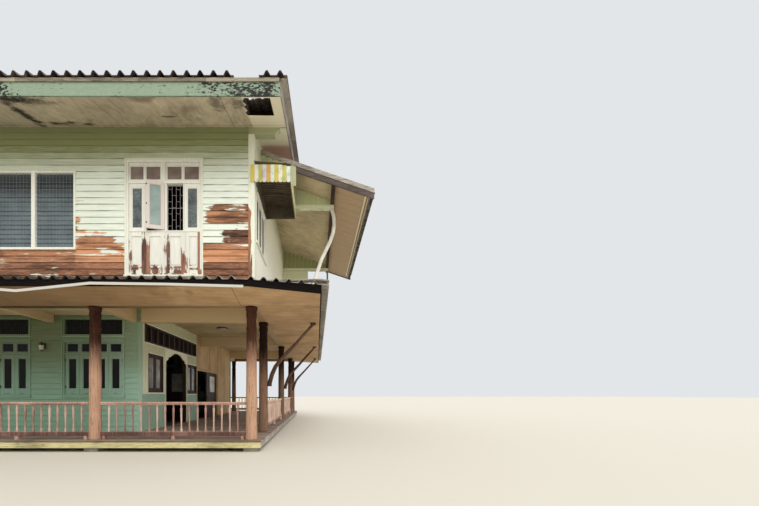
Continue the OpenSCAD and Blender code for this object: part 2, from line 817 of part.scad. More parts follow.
// Awning over the first upper side window, open below
awning_from = 50;
awning_to = 1545;
awning_t = 8;
awning_fall = 60;
module awning() color("#c9bd6a")
    translate([wall_right, 0, deck_top + awning_low]) difference() {
        translate([0, awning_to, 0]) rotate([90, 0, 0]) linear_extrude(awning_to - awning_from)
            polygon([[0, 0], [awning_out, 0], [awning_out, awning_h - awning_fall], [0, awning_h]]);
        translate([0, awning_to - awning_t, 0]) rotate([90, 0, 0])
            linear_extrude(awning_to - awning_from - 2 * awning_t)
            polygon([[-eps, -eps], [awning_out - awning_t, -eps],
                     [awning_out - awning_t, awning_h - awning_fall - awning_t],
                     [-eps, awning_h - awning_t]]);
    }

// Main roof

roof_left = left_x - verge_out;
roof_right = verge_out;
front_edge = -eave_out;

// A band that follows the slope from y0 to y1, between two heights over the rafters' underside
module slope_band(x0, x1, y0, y1, low, high)
    yz_prism([[y0, rafter_z(y0) + low], [y1, rafter_z(y1) + low],
              [y1, rafter_z(y1) + high], [y0, rafter_z(y0) + high]], x0, x1);

// The same with a peak at the ridge
module gable_band(x0, x1, low, high)
    yz_prism([[front_edge + fascia_t, rafter_z(front_edge + fascia_t) + low], [mid_y, rafter_z(mid_y) + low],
              [line_e + eave_out - fascia_t, rafter_z(front_edge + fascia_t) + low],
              [line_e + eave_out - fascia_t, rafter_z(front_edge + fascia_t) + high],
              [mid_y, rafter_z(mid_y) + high],
              [front_edge + fascia_t, rafter_z(front_edge + fascia_t) + high]], x0, x1);

rafter_xs = concat([roof_right - fascia_t - rafter_w],
    [for (i = [0:2 * bays]) -i * bay / 2 - rafter_w / 2], [roof_left + fascia_t]);
sheets_low = rafter_h + purlin_h;

module half_roof_timbers() {
    for (x = rafter_xs)
        slope_band(x, x + rafter_w, front_edge + fascia_t, mid_y - 1, 0, rafter_h + eps);
    for (y = [front_edge + fascia_t:purlin_step:mid_y - purlin_step / 2])
        slope_band(roof_left + fascia_t, roof_right - fascia_t, y, y + rafter_w, rafter_h, sheets_low);
}

module roof_timbers() color("#4a3a30") front_and_back() half_roof_timbers();

// Outline of a ribbed sheet: flat troughs between raised ribs
rib_foot = 130;
rib_crown = 36;
function rib_line(n, p, h) = [for (i = [0:n - 1]) each
    [[i * p, 0], [i * p + (p - rib_foot) / 2, 0], [i * p + (p - rib_crown) / 2, h],
     [i * p + (p + rib_crown) / 2, h], [i * p + (p + rib_foot) / 2, 0]]];
function lifted(points, d) = [for (i = [len(points) - 1:-1:0]) [points[i][0], points[i][1] + d]];

// A ribbed sheet in x from 0, laid up the slope along y from 0
module ribbed(w, run, p, h) {
    n = floor(w / p);
    line = concat(rib_line(n, p, h), [[w, 0]]);
    translate([0, run, 0]) rotate([90, 0, 0]) linear_extrude(run)
        polygon(concat(line, lifted(line, sheet_t)));
}

slope_angle = atan(slope);
sheet_lip = 50;
sheet_over = 115;
missing_x = [-80, 380];
missing_run = 1150;
ridge_gap = 25;
module half_roof_sheets(missing = false)
    translate([roof_left - sheet_over, front_edge, rafter_z(front_edge) + sheets_low])
        rotate([slope_angle, 0, 0]) translate([0, -sheet_lip, seat]) difference() {
            ribbed(roof_right - roof_left + 2 * sheet_over,
                   (mid_y + eave_out) / cos(slope_angle) + sheet_lip - ridge_gap, rib_pitch, rib_h);
            if (missing)
                block([missing_x[0] - roof_left + sheet_over, -eps, -rib_h],
                      [missing_x[1] - roof_left + sheet_over, missing_run, 2 * rib_h]);
        }

module roof_sheets() color("#5a544e") {
    half_roof_sheets(true);
    translate([0, line_e, 0]) mirror([0, 1, 0]) half_roof_sheets();
}

cap_w = 220;
cap_t = 12;
module ridge_cap() {
    top = rafter_z(mid_y) + sheets_low + (rib_h + sheet_t) / cos(slope_angle) + 2 * seat;
    yz_prism([[mid_y - cap_w, top - slope * cap_w], [mid_y, top], [mid_y + cap_w, top - slope * cap_w],
              [mid_y + cap_w, top - slope * cap_w + cap_t], [mid_y, top + cap_t * 2],
              [mid_y - cap_w, top - slope * cap_w + cap_t]],
             roof_left - sheet_over, roof_right + sheet_over);
}

// Soffit sheets under the rafters, with the broken hole at the front right
soffit_hole = [[30, -515], [570, -515], [570, -1130], [90, -1130], [30, -1010], [75, -900],
    [20, -840], [55, -700], [5, -640]];
verge_joint = soffit_t / slope + 2;
module eave_soffit()
    slope_band(roof_left + fascia_t, roof_right - fascia_t, front_edge + fascia_t, wall_front,
               -soffit_t, -seat);

module roof_soffits() color("#b7a482") {
    difference() {
        eave_soffit();
        translate([0, 0, z_plate - 1000]) linear_extrude(2000) polygon(soffit_hole);
    }
    translate([0, line_e, 0]) mirror([0, 1, 0]) eave_soffit();
    for (x = [[wall_right, roof_right - fascia_t], [roof_left + fascia_t, wall_left]])
        intersection() {
            gable_band(x[0], x[1], -soffit_t, -seat);
            block([x[0] - eps, wall_front + verge_joint, 0],
                  [x[1] + eps, wall_back - verge_joint, 2 * z_wall]);
        }
}

module fascia_boards() color(mint) front_and_back()
    block([roof_left + fascia_t, front_edge, rafter_z(front_edge) - soffit_t],
          [roof_right - fascia_t, front_edge + fascia_t, rafter_z(front_edge) + rafter_h]);

module verge_boards() color(grey_wood)
    for (x = [roof_right - fascia_t, roof_left]) gable_band(x, x + fascia_t, -soffit_t, sheets_low);

// Side roof over the right wall

side_angle = atan(side_slope);
side_front = side_roof_from;
side_back = line_c + side_roof_past;
// Underside of its rafters at x
function side_under(x) = deck_top + side_roof_top - side_slope * (x - wall_right)
    - side_rafter_h - (side_rib_h + sheet_t + seat) / cos(side_angle);
side_lip = 100;
eave_board_x = side_roof_out - side_lip - fascia_t;
long_beam_x = rail_beam_out - long_beam_w;
outrigger_z = deck_top + rail_beam_z;
outrigger_top = outrigger_z + rail_beam_h;

// A band under the side roof from x0 to x1, between two heights over the rafters' underside
module side_band(x0, x1, y0, y1, low, high)
    xz_prism([[x0, side_under(x0) + low], [x1, side_under(x1) + low],
              [x1, side_under(x1) + high], [x0, side_under(x0) + high]], y0, y1);

side_rafter_n = 6;
module side_roof_frame() color("#5b4a3c") {
    for (i = [0:side_rafter_n]) {
        y = side_front + fascia_t + i * (side_back - side_front - 2 * fascia_t - rafter_w) / side_rafter_n;
        side_band(wall_right, eave_board_x, y, y + rafter_w, 0, side_rafter_h);
    }
    xz_prism([[long_beam_x, outrigger_top], [rail_beam_out, outrigger_top],
              [rail_beam_out, side_under(rail_beam_out) + eps],
              [long_beam_x, side_under(long_beam_x) + eps]],
             side_front + fascia_t, side_back - fascia_t);
}

module side_roof_sheets() color("#5a544e")
    translate([wall_right, side_front + fascia_t, side_under(wall_right) + side_rafter_h])
        rotate([0, side_angle, 0]) mirror([1, 0, 0]) rotate([0, 0, 90]) translate([0, seat, seat])
            ribbed(side_back - side_front - 2 * fascia_t - 2 * seat,
                   (side_roof_out - wall_right) / cos(side_angle) + sheet_lip / 2,
                   rib_pitch, side_rib_h);

module side_roof_soffit() color("#b49c78") {
    side_band(wall_right, long_beam_x, side_front + fascia_t, side_back - fascia_t, -soffit_t, 0);
    side_band(rail_beam_out, eave_board_x, side_front + fascia_t, side_back - fascia_t, -soffit_t, 0);
}

barge_low = -75;
barge_high = 165;
module side_roof_boards() color("#77706a") {
    for (y = [side_front, side_back - fascia_t])
        side_band(wall_right, side_roof_out, y, y + fascia_t, barge_low, barge_high);
    block([eave_board_x, side_front + fascia_t, side_under(eave_board_x) + barge_low],
          [eave_board_x + fascia_t, side_back - fascia_t,
           side_under(eave_board_x + fascia_t) + side_rafter_h]);
}

infill_t = 30;
screen_out = 1080;
module side_infills() color("#b3c2a0") {
    for (y = [line_b, line_c]) {
        block([wall_right, y - beam_half / 2, outrigger_z],
              [rail_beam_out, y + beam_half / 2, outrigger_top]);
        xz_prism([[wall_right, outrigger_top - eps], [long_beam_x, outrigger_top - eps],
                  [long_beam_x, side_under(long_beam_x) - soffit_t],
                  [wall_right, side_under(wall_right) - soffit_t]],
                 y - infill_t / 2, y + infill_t / 2);
    }
    xz_prism([[wall_right, low_side_crest(wall_right) + 2 * seat],
              [screen_out, low_side_crest(screen_out) + 2 * seat],
              [screen_out, outrigger_z + eps], [wall_right, outrigger_z + eps]],
             line_c - infill_t / 2, line_c + infill_t / 2);
}

module slender_post() color("#8e867c")
    translate([rail_beam_out - slender_r, line_c, outrigger_z - slender_h])
        cylinder(r = slender_r, h = slender_h);

// A closed tube of n sides through points in x and z, from a flat start to a flat end
function bend_angle(p, i) = let (a = p[max(i - 1, 0)], b = p[min(i + 1, len(p) - 1)])
    atan2(b[1] - a[1], b[0] - a[0]);
function ring(p, i, r, n) = let (a = bend_angle(p, i)) [for (k = [0:n - 1])
    let (u = r * cos(360 * k / n), v = r * sin(360 * k / n))
    [p[i][0] - u * sin(a), v, p[i][1] + u * cos(a)]];
module tube(p, r, n) {
    m = len(p);
    polyhedron(
        points = [for (i = [0:m - 1]) each ring(p, i, r, n)],
        faces = concat([[for (k = [n - 1:-1:0]) k]],
            [for (i = [0:m - 2], k = [0:n - 1])
                [i * n + k, i * n + (k + 1) % n, (i + 1) * n + (k + 1) % n, (i + 1) * n + k]],
            [[for (k = [0:n - 1]) (m - 1) * n + k]]));
}

// Lower roof

low_crest_wall = z_high + low_wall_rise;
low_crest_front = z_low + low_edge_rise;
low_crest_side = z_low + low_side_rise;
low_front_slope = (low_crest_wall - low_crest_front) / (low_out - half_wall);
low_side_slope = (low_crest_wall - low_crest_side) / (low_side_out - half_wall);
low_corner_slope = (low_crest_front - low_crest_side) / (low_side_out - half_wall);
low_front_angle = atan(low_front_slope);
low_side_angle = atan(low_side_slope);
low_corner_angle = atan(low_corner_slope * cos(low_front_angle));
low_sheet_h = low_rib_h + sheet_t + seat;
low_left = wall_left - low_left_out;

// Underside of the sheets over the front, the corner and the side
function low_front_z(y) = low_crest_front - low_sheet_h / cos(low_front_angle)
    + low_front_slope * (y + low_out);
function low_corner_z(x, y) = low_front_z(y) - low_corner_slope * (x - wall_right);
function low_side_crest(x) = low_crest_wall - low_side_slope * (x - wall_right);
function low_side_z(x) = low_side_crest(x) - low_sheet_h / cos(low_side_angle);

// The rain pipe hangs from the front outrigger and bends back over the lower roof. Its points
// are a distance in x and a share of its fall
pipe_x = rail_beam_out - 50;
pipe_bend = [[0, 0], [26, 0.03], [52, 0.075], [58, 0.15], [30, 0.226], [-50, 0.316], [-155, 0.399],
    [-285, 0.5], [-440, 0.673], [-735, 1]];
pipe_rest = 65;
pipe_fall = outrigger_z - low_side_crest(pipe_x + pipe_bend[len(pipe_bend) - 1][0]) - pipe_rest;
pipe_line = [for (p = pipe_bend) [p[0], -p[1] * pipe_fall]];
module rain_pipe() color("#dad8d0")
    translate([pipe_x, line_b, outrigger_z - pipe_r * abs(cos(bend_angle(pipe_line, 0))) - seat])
        tube(pipe_line, pipe_r, 12);

// How far the hip runs back for each unit to the right
hip_run = (low_out - half_wall) / (low_side_out - half_wall);
hip_gap = 5;

module low_front_sheet()
    translate([low_left, -low_out, low_front_z(-low_out)]) rotate([low_front_angle, 0, 0])
        translate([0, 0, seat])
            ribbed(wall_right - low_left, (low_out - half_wall) / cos(low_front_angle) - seat,
                   rib_pitch, low_rib_h);

module low_corner_sheet() intersection() {
    translate([wall_right, -low_out, low_front_z(-low_out)])
        rotate([low_front_angle, 0, 0]) rotate([0, low_corner_angle, 0]) translate([0, -sheet_lip, seat])
            ribbed(low_side_out, low_out + sheet_lip, rib_pitch, low_rib_h);
    translate([0, 0, z_low]) linear_extrude(z_floor - z_low)
        polygon([[wall_right + seat, wall_front - 2 * hip_gap], [wall_right + seat, -low_out],
                 [low_side_out - 4 * hip_gap, -low_out]]);
}

module low_side_sheet() intersection() {
    translate([wall_right, -low_out, low_side_z(wall_right)])
        rotate([0, low_side_angle, 0]) mirror([1, 0, 0]) rotate([0, 0, 90]) translate([0, seat, seat])
            ribbed(line_e + 2 * low_out, (low_side_out - half_wall) / cos(low_side_angle),
                   rib_pitch, low_rib_h);
    translate([0, 0, z_low]) linear_extrude(z_floor - z_low)
        polygon([[wall_right, wall_front], [low_side_out, -low_out],
                 [low_side_out, line_e + low_out], [wall_right, wall_back]]);
}

module lower_roof_sheets() color("#4f4944") {
    front_and_back() {
        low_front_sheet();
        low_corner_sheet();
    }
    low_side_sheet();
}

low_face = -low_out + low_lip - fascia_t;
low_back = low_face + fascia_t;
low_soffit_slope = low_soffit_rise / (-low_back - beam_half);
function low_soffit_z(y) = z_low + low_soffit_slope * (-beam_half - y);
low_side_rafters = 10;

module lower_roof_frame() color("#5b4a3c") {
    for (i = [0:3 * bays]) front_and_back() {
        x = -i * bay / 3 + (i == 3 * bays ? 0 : -rafter_w / 2);
        yz_prism([[low_back, low_soffit_z(low_back) + soffit_t],
                  [-beam_half, z_low + soffit_t], [-beam_half, z_high], [wall_front, z_high],
                  [wall_front, low_front_z(wall_front)], [low_back, low_front_z(low_back)]],
                 x, x + rafter_w);
    }
    for (i = [0:low_side_rafters]) {
        y = i * line_e / low_side_rafters;
        xz_prism([[beam_half, z_low + soffit_t], [low_soffit_out, z_low + soffit_t],
                  [low_soffit_out, low_side_z(low_soffit_out)], [wall_right, low_side_z(wall_right)],
                  [wall_right, z_high], [beam_half, z_high]],
                 y - rafter_w / 2, y + rafter_w / 2);
    }
}

// The soffit's corner falls from the raised front edge to the level side
module low_corner_soffit() {
    a = [beam_half + seat, low_back, low_soffit_z(low_back)];
    b = [beam_half + seat, -beam_half - seat, z_low];
    c = [low_soffit_out, -beam_half - seat, z_low];
    d = [low_soffit_out, low_back, z_low];
    up = [0, 0, soffit_t];
    polyhedron(points = [a, b, c, d, a + up, b + up, c + up, d + up],
        faces = [[0, 3, 1], [1, 3, 2], [4, 5, 7], [5, 6, 7], [0, 1, 5, 4], [1, 2, 6, 5],
                 [2, 3, 7, 6], [3, 0, 4, 7]]);
}

module lower_soffit() color("#bb9c6c") {
    front_and_back() {
        yz_prism([[low_back, low_soffit_z(low_back)], [-beam_half, z_low], [-beam_half, z_low + soffit_t],
                  [low_back, low_soffit_z(low_back) + soffit_t]], low_left + fascia_t, beam_half);
        low_corner_soffit();
    }
    block([beam_half, -beam_half, z_low], [low_soffit_out, line_e + beam_half, z_low + soffit_t]);
}

low_side_face = low_soffit_out + fascia_t;
low_hip_y = wall_front - (low_soffit_out - wall_right) * hip_run;
module lower_fascia() color(dark) {
    front_and_back() xz_prism([
        [low_left, low_soffit_z(low_back)], [beam_half, low_soffit_z(low_back)], [low_side_face, z_low],
        [low_side_face, low_corner_z(low_side_face, low_face)], [wall_right, low_front_z(low_face)],
        [low_left, low_front_z(low_face)]], low_face, low_back);
    yz_prism([[low_back, z_low], [line_e - low_back, z_low],
              [line_e - low_back, low_corner_z(low_side_face, low_back) - seat],
              [line_e - low_hip_y, low_side_z(low_side_face)], [low_hip_y, low_side_z(low_side_face)],
              [low_back, low_corner_z(low_side_face, low_back) - seat]], low_soffit_out, low_side_face);
    front_and_back()
        yz_prism([[low_back, low_soffit_z(low_back)], [-beam_half, z_low],
                  [-beam_half, low_front_z(-beam_half)], [low_back, low_front_z(low_back)]],
                 low_left, low_left + fascia_t);
}

hip_w = 150;
module roof_caps() color("#6a645c") {
    ridge_cap();
    front_and_back() hull() {
        translate([wall_right, wall_front - hip_w / 2, low_crest_wall + 2 * seat])
            cube([2, hip_w / 2, 25]);
        translate([low_side_out - hip_w, -low_out, low_side_crest(low_side_out - hip_w) + 2 * seat])
            rotate([0, low_side_angle, 0]) cube([hip_w, hip_w / 2, 25]);
    }
}

// Trim boards nailed along the front edge, sagging between the nails: ends in x and height
trim_t = 15;
trim_h = 50;
trim_line = [[40, 3060], [-1420, 3100], [-2890, 3120], [-4300, 2975], [-5900, 3100], [-7600, 3120],
    [-9300, 3090]];
module eave_trim() color("#e4e0d2")
    for (i = [0:len(trim_line) - 2]) {
        p = trim_line[i];
        q = trim_line[i + 1];
        xz_prism([[q[0] + seat, deck_top + q[1] - trim_h / 2], [p[0] - seat, deck_top + p[1] - trim_h / 2],
                  [p[0] - seat, deck_top + p[1] + trim_h / 2], [q[0] + seat, deck_top + q[1] + trim_h / 2]],
                 low_face - trim_t, low_face);
    }

// Curved braces from the side posts to the soffit
brace_foot = 1230;
brace_line = [[168, 0], [225, 270], [350, 560], [540, 770], [760, 1010], [1000, 1270], [1345, 1652]];
brace_block = 60;
module knee_brace() {
    tube(brace_line, brace_r, 10);
    block([post_r - 2.5, -brace_r, 0], [168 + brace_r / 2, brace_r, 70]);
    block([1345 - brace_block, -brace_r - 10, z_low - deck_top - brace_foot - brace_block],
          [1345 + brace_block, brace_r + 10, z_low - deck_top - brace_foot]);
}
module knee_braces() color("#5d3c2c")
    for (y = [line_b, line_c, line_d]) translate([0, y, deck_top + brace_foot]) knee_brace();

// Balustrades

baluster_foot = rail_gap + sill_h;
baluster_len = rail_top - rail_h - baluster_foot;
baluster_line = [[0, -eps], [baluster_r, -eps], [baluster_r, 70], [waist_r + 4, 110], [waist_r, 170],
    [waist_r + 10, baluster_len * 0.55], [waist_r, baluster_len - 130], [baluster_r, baluster_len - 80],
    [baluster_r, baluster_len + eps], [0, baluster_len + eps]];

// A panel along x between two posts that stand span apart
module panel(span) {
    end = post_r + rail_end;
    low_end = foot_r + rail_end;
    n = floor((span - 2 * end) / baluster_pitch);
    first = (span - (n - 1) * baluster_pitch) / 2;
    block([end, -rail_w / 2, rail_top - rail_h], [span - end, rail_w / 2, rail_top]);
    block([low_end, -rail_w / 2, rail_gap], [span - low_end, rail_w / 2, rail_gap + sill_h]);
    for (x = [foot_r + rail_w, span / 2, span - foot_r - rail_w])
        block([x - rail_w / 2, -rail_w / 2, 0], [x + rail_w / 2, rail_w / 2, rail_gap + eps]);
    for (i = [0:n - 1]) translate([first + i * baluster_pitch, 0, baluster_foot])
        rotate_extrude($fn = 16) polygon(baluster_line);
}

module front_balustrade() color("#8d5f50")
    for (i = [0:bays - 1]) translate([-(i + 1) * bay, 0, deck_top]) panel(bay);
module rear_balustrade() color("#8d5f50")
    for (i = [0:bays - 1]) translate([-(i + 1) * bay, line_e, deck_top]) panel(bay);
module side_balustrade() color("#8d5f50") {
    for (y = [line_b, line_c]) translate([0, y, deck_top]) rotate([0, 0, 90]) panel(room_bay);
    translate([0, line_d, deck_top]) rotate([0, 0, 90]) panel(veranda);
}

// A lantern on the front wall and a round lamp under the side ceiling
lantern_x = -5850;
lantern_z = 2280;
lamp_at = [-1830, 4100];
module lamps() color("#6f6a62") {
    translate([lantern_x, room_front, deck_top + lantern_z]) {
        block([-35, -20, -60], [35, 0, 60]);
        block([-12, -140, 60], [12, 0, 80]);
        translate([0, -110, -110]) cylinder(r1 = 38, r2 = 60, h = 150);
        translate([0, -110, 40]) cylinder(r1 = 70, r2 = 20, h = 40);
    }
    translate([lamp_at[0], lamp_at[1], z_high - ceiling_t - 70]) cylinder(r1 = 100, r2 = 150, h = 70);
}

footings();
deck_frame();
rim_boards();
veranda_deck();
house_floor();
front_posts();
back_posts();
floor_beams();
cross_beams();
upper_floor();
veranda_ceiling();
lower_front_wall();
lower_rear_wall();
lower_left_wall();
side_wall_corner();
side_wall_head();
side_wall_middle();
ply_wall_over_door();
ply_wall_rear();
arch_casing();
door_frame();
near_door_leaf();
far_door_leaf();
front_lower_windows();
back_lower_windows();
side_windows();
upper_front_wall();
upper_right_wall();
upper_left_wall();
upper_rear_wall();
tall_windows();
open_casements();
louvred_window();
upper_back_windows();
awning();
wall_plates();
roof_timbers();
roof_sheets();
roof_caps();
roof_soffits();
fascia_boards();
verge_boards();
side_roof_frame();
side_roof_sheets();
side_roof_soffit();
side_roof_boards();
side_infills();
slender_post();
rain_pipe();
lower_roof_frame();
lower_roof_sheets();
lower_soffit();
lower_fascia();
eave_trim();
knee_braces();
front_balustrade();
side_balustrade();
rear_balustrade();
lamps();
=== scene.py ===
# %% [markdown]
# # A weathered timber house on posts
# Boards, paint, rust-brown bare wood, ribbed roof sheets and stained ceilings make this
# house what it is, far more than its plain boxes do. The script loads the finished solids
# as a fixed frame, lays the boards, windows and sheets over them in mesh code, and gives
# every surface a material made of nodes.

# %% Load the solids
import math
import random

import bmesh
import bpy
from mathutils import Matrix, Vector, noise


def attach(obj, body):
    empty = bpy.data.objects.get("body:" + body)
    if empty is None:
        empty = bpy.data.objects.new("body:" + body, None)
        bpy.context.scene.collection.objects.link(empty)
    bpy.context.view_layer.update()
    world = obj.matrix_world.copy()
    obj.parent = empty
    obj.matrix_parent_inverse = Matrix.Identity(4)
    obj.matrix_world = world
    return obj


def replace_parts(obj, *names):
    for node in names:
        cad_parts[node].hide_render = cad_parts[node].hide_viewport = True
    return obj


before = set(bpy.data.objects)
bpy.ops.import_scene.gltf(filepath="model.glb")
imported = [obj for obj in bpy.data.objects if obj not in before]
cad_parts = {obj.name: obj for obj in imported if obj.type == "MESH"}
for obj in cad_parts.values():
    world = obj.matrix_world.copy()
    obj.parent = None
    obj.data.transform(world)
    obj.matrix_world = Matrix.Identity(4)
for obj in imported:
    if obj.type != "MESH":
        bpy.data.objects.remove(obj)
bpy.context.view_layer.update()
dice = random.Random(7)

# %% [markdown]
# ## Where the viewer stands
# The photographer stood low and close in front of the right corner, with a very wide lens
# held level. A level camera keeps the posts upright, and the lens is shifted, as on a view
# camera, so that the roof comes into the frame without tilting anything.

# %% Camera
view_data = bpy.data.cameras.new("viewpoint")
view_data.sensor_width = 36.0
view_data.lens = 15.46
view_data.shift_x = 0.0823
view_data.shift_y = 0.1858
view_data.clip_end = 400.0
viewpoint = bpy.data.objects.new("viewpoint", view_data)
viewpoint.location = (1.447, -7.2, 1.245)
viewpoint.rotation_euler = (math.radians(90), 0, 0)
bpy.context.scene.collection.objects.link(viewpoint)
bpy.context.scene.camera = viewpoint
bpy.context.scene.view_settings.view_transform = "Standard"
print("lens", view_data.lens, "mm at", tuple(round(c, 3) for c in viewpoint.location))

# %% [markdown]
# ## Light from a grey sky
# The day is overcast, so light comes from all of the sky and shadows are soft. The world
# gives that even light, one wide lamp gives it a direction, and the pale floor throws
# some of it back up under the eaves, where most of the ceilings are seen.

# %% World, lamp and floor
world = bpy.data.worlds.new("overcast")
bpy.context.scene.world = world
world.use_nodes = True
sky = world.node_tree
sky.nodes.clear()


def linear(code):
    """An sRGB hex colour as linear red, green, blue and alpha."""
    parts = [int(code.lstrip("#")[i:i + 2], 16) / 255 for i in (0, 2, 4)]
    return [c / 12.92 if c <= 0.04045 else ((c + 0.055) / 1.055) ** 2.4 for c in parts] + [1.0]


def feed(node, inputs):
    """Gives each input, by its name or number, a value or a link. A node stands for its first output."""
    for key, value in inputs.items():
        if isinstance(value, bpy.types.Node):
            value = value.outputs[0]
        if isinstance(value, bpy.types.NodeSocket):
            node.id_data.links.new(value, node.inputs[key])
        else:
            node.inputs[key].default_value = value


def add(tree, kind, inputs=None, stops=(), **settings):
    """Adds a node with its settings and inputs. stops are a colour ramp's (position, hex)."""
    made = tree.nodes.new(kind)
    for name, value in settings.items():
        setattr(made, name, value)
    for i, (position, code) in enumerate(stops):
        stop = made.color_ramp.elements[i] if i < 2 else made.color_ramp.elements.new(position)
        stop.position = position
        stop.color = linear(code)
    feed(made, inputs or {})
    return made


def new_material(name):
    """A material made of nodes, with its node tree and its Principled shader."""
    made = bpy.data.materials.new(name)
    made.use_nodes = True
    return made, made.node_tree, made.node_tree.nodes["Principled BSDF"]


seen = add(sky, "ShaderNodeLightPath")
# Whoever looks at the backdrop, in a mirror or through glass too, sees its own pale grey
direct = add(sky, "ShaderNodeMath", {
    0: seen.outputs["Is Camera Ray"], 1: seen.outputs["Is Transmission Ray"]}, operation="MAXIMUM")
direct = add(sky, "ShaderNodeMath", {0: direct, 1: seen.outputs["Is Glossy Ray"]}, operation="MAXIMUM")
daylight = add(sky, "ShaderNodeBackground", {"Color": linear("#f1f1ee"), "Strength": 1.0})
backdrop = add(sky, "ShaderNodeBackground", {"Color": linear("#e3e6e9"), "Strength": 1.0})
both = add(sky, "ShaderNodeMixShader", {0: direct, 1: daylight, 2: backdrop})
add(sky, "ShaderNodeOutputWorld", {"Surface": both})

lamp_data = bpy.data.lights.new("soft_sun", "SUN")
lamp_data.energy = 1.6
lamp_data.angle = math.radians(40)
lamp = bpy.data.objects.new("soft_sun", lamp_data)
lamp.rotation_euler = (math.radians(48), 0, math.radians(28))
bpy.context.scene.collection.objects.link(lamp)

ground = bmesh.new()
bmesh.ops.create_grid(ground, x_segments=8, y_segments=8, size=150.0)
ground_mesh = bpy.data.meshes.new("floor")
ground.to_mesh(ground_mesh)
ground.free()
floor = bpy.data.objects.new("floor", ground_mesh)
floor.location = (0, 0, -0.002)
bpy.context.scene.collection.objects.link(floor)
pale, tree, shader = new_material("pale_floor")
feed(shader, {"Base Color": linear("#e0dacd"), "Roughness": 0.9})
floor.data.materials.append(pale)
print("lamp", lamp_data.energy, "W per square metre, floor at", floor.location.z)

# %% [markdown]
# ## Flaking oil paint over old boards
# The walls are tropical hardwood boards under thin oil paint. Sun and rain have lifted the
# paint in flakes that follow the grain, so each board shows its own share of red-brown
# wood. The loss comes from noise stretched along the boards, and two values stored on the
# mesh, `loss` and `grime_and_shade`, say where on the wall the weather got in and where painted
# shade darkens it. A third, `tint`, is one random number for each board. A small step in the
# bump is the thickness of the paint.

# %% Where the paint has gone
def grain_coordinates(tree, along, stretch):
    """Object coordinates, and the same squeezed along axis `along`, so a pattern runs with the wood."""
    plain = add(tree, "ShaderNodeTexCoord").outputs["Object"]
    scale = [1.0, 1.0, 1.0]
    scale[along] = 1.0 / stretch
    return plain, add(tree, "ShaderNodeMapping", {"Vector": plain, "Scale": scale})


def paint_gone(tree, plain, grained, across, tint, loss, fine, rotten):
    """1 where the paint is off, and the noises for patches of wall and for paint that clings."""
    worn = add(tree, "ShaderNodeAttribute", attribute_name="loss").outputs["Fac"]
    # Flakes about 90 mm wide, in patches of 430 mm
    flakes = add(tree, "ShaderNodeTexNoise", {
        "Vector": grained, "Scale": 11.0 * fine, "Detail": 9.0, "Roughness": 0.62})
    patches = add(tree, "ShaderNodeTexNoise", {"Vector": plain, "Scale": 2.3, "Detail": 3.0})
    # The height of the weather's attack: noise, plus what the wall and the board bring to it
    attack = add(tree, "ShaderNodeMath", {0: flakes, 1: 0.62, 2: worn}, operation="MULTIPLY_ADD")
    attack = add(tree, "ShaderNodeMath", {0: patches, 1: 0.38, 2: attack}, operation="MULTIPLY_ADD")
    attack = add(tree, "ShaderNodeMath", {0: tint, 1: 0.10, 2: attack}, operation="MULTIPLY_ADD")
    for x, reach, amount in rotten:
        near = add(tree, "ShaderNodeMath", {0: across, 1: x}, operation="SUBTRACT")
        near = add(tree, "ShaderNodeMath", {0: near}, operation="ABSOLUTE")
        near = add(tree, "ShaderNodeMapRange", {
            "Value": near, "From Min": reach, "From Max": 0.3 * reach, "To Max": amount})
        attack = add(tree, "ShaderNodeMath", {0: near, 1: attack}, operation="ADD")
    gone = add(tree, "ShaderNodeMapRange", {
        "Value": attack, "From Min": 0.735 - loss, "From Max": 0.765 - loss})
    # Islands of paint that still cling to bare boards
    clinging = add(tree, "ShaderNodeTexNoise", {
        "Vector": grained, "Scale": 6.5, "Detail": 8.0, "Roughness": 0.66})
    kept = add(tree, "ShaderNodeMapRange", {"Value": clinging, "From Min": 0.64, "From Max": 0.60})
    gone = add(tree, "ShaderNodeMath", {0: gone, 1: kept}, operation="MULTIPLY")
    return gone, patches, clinging


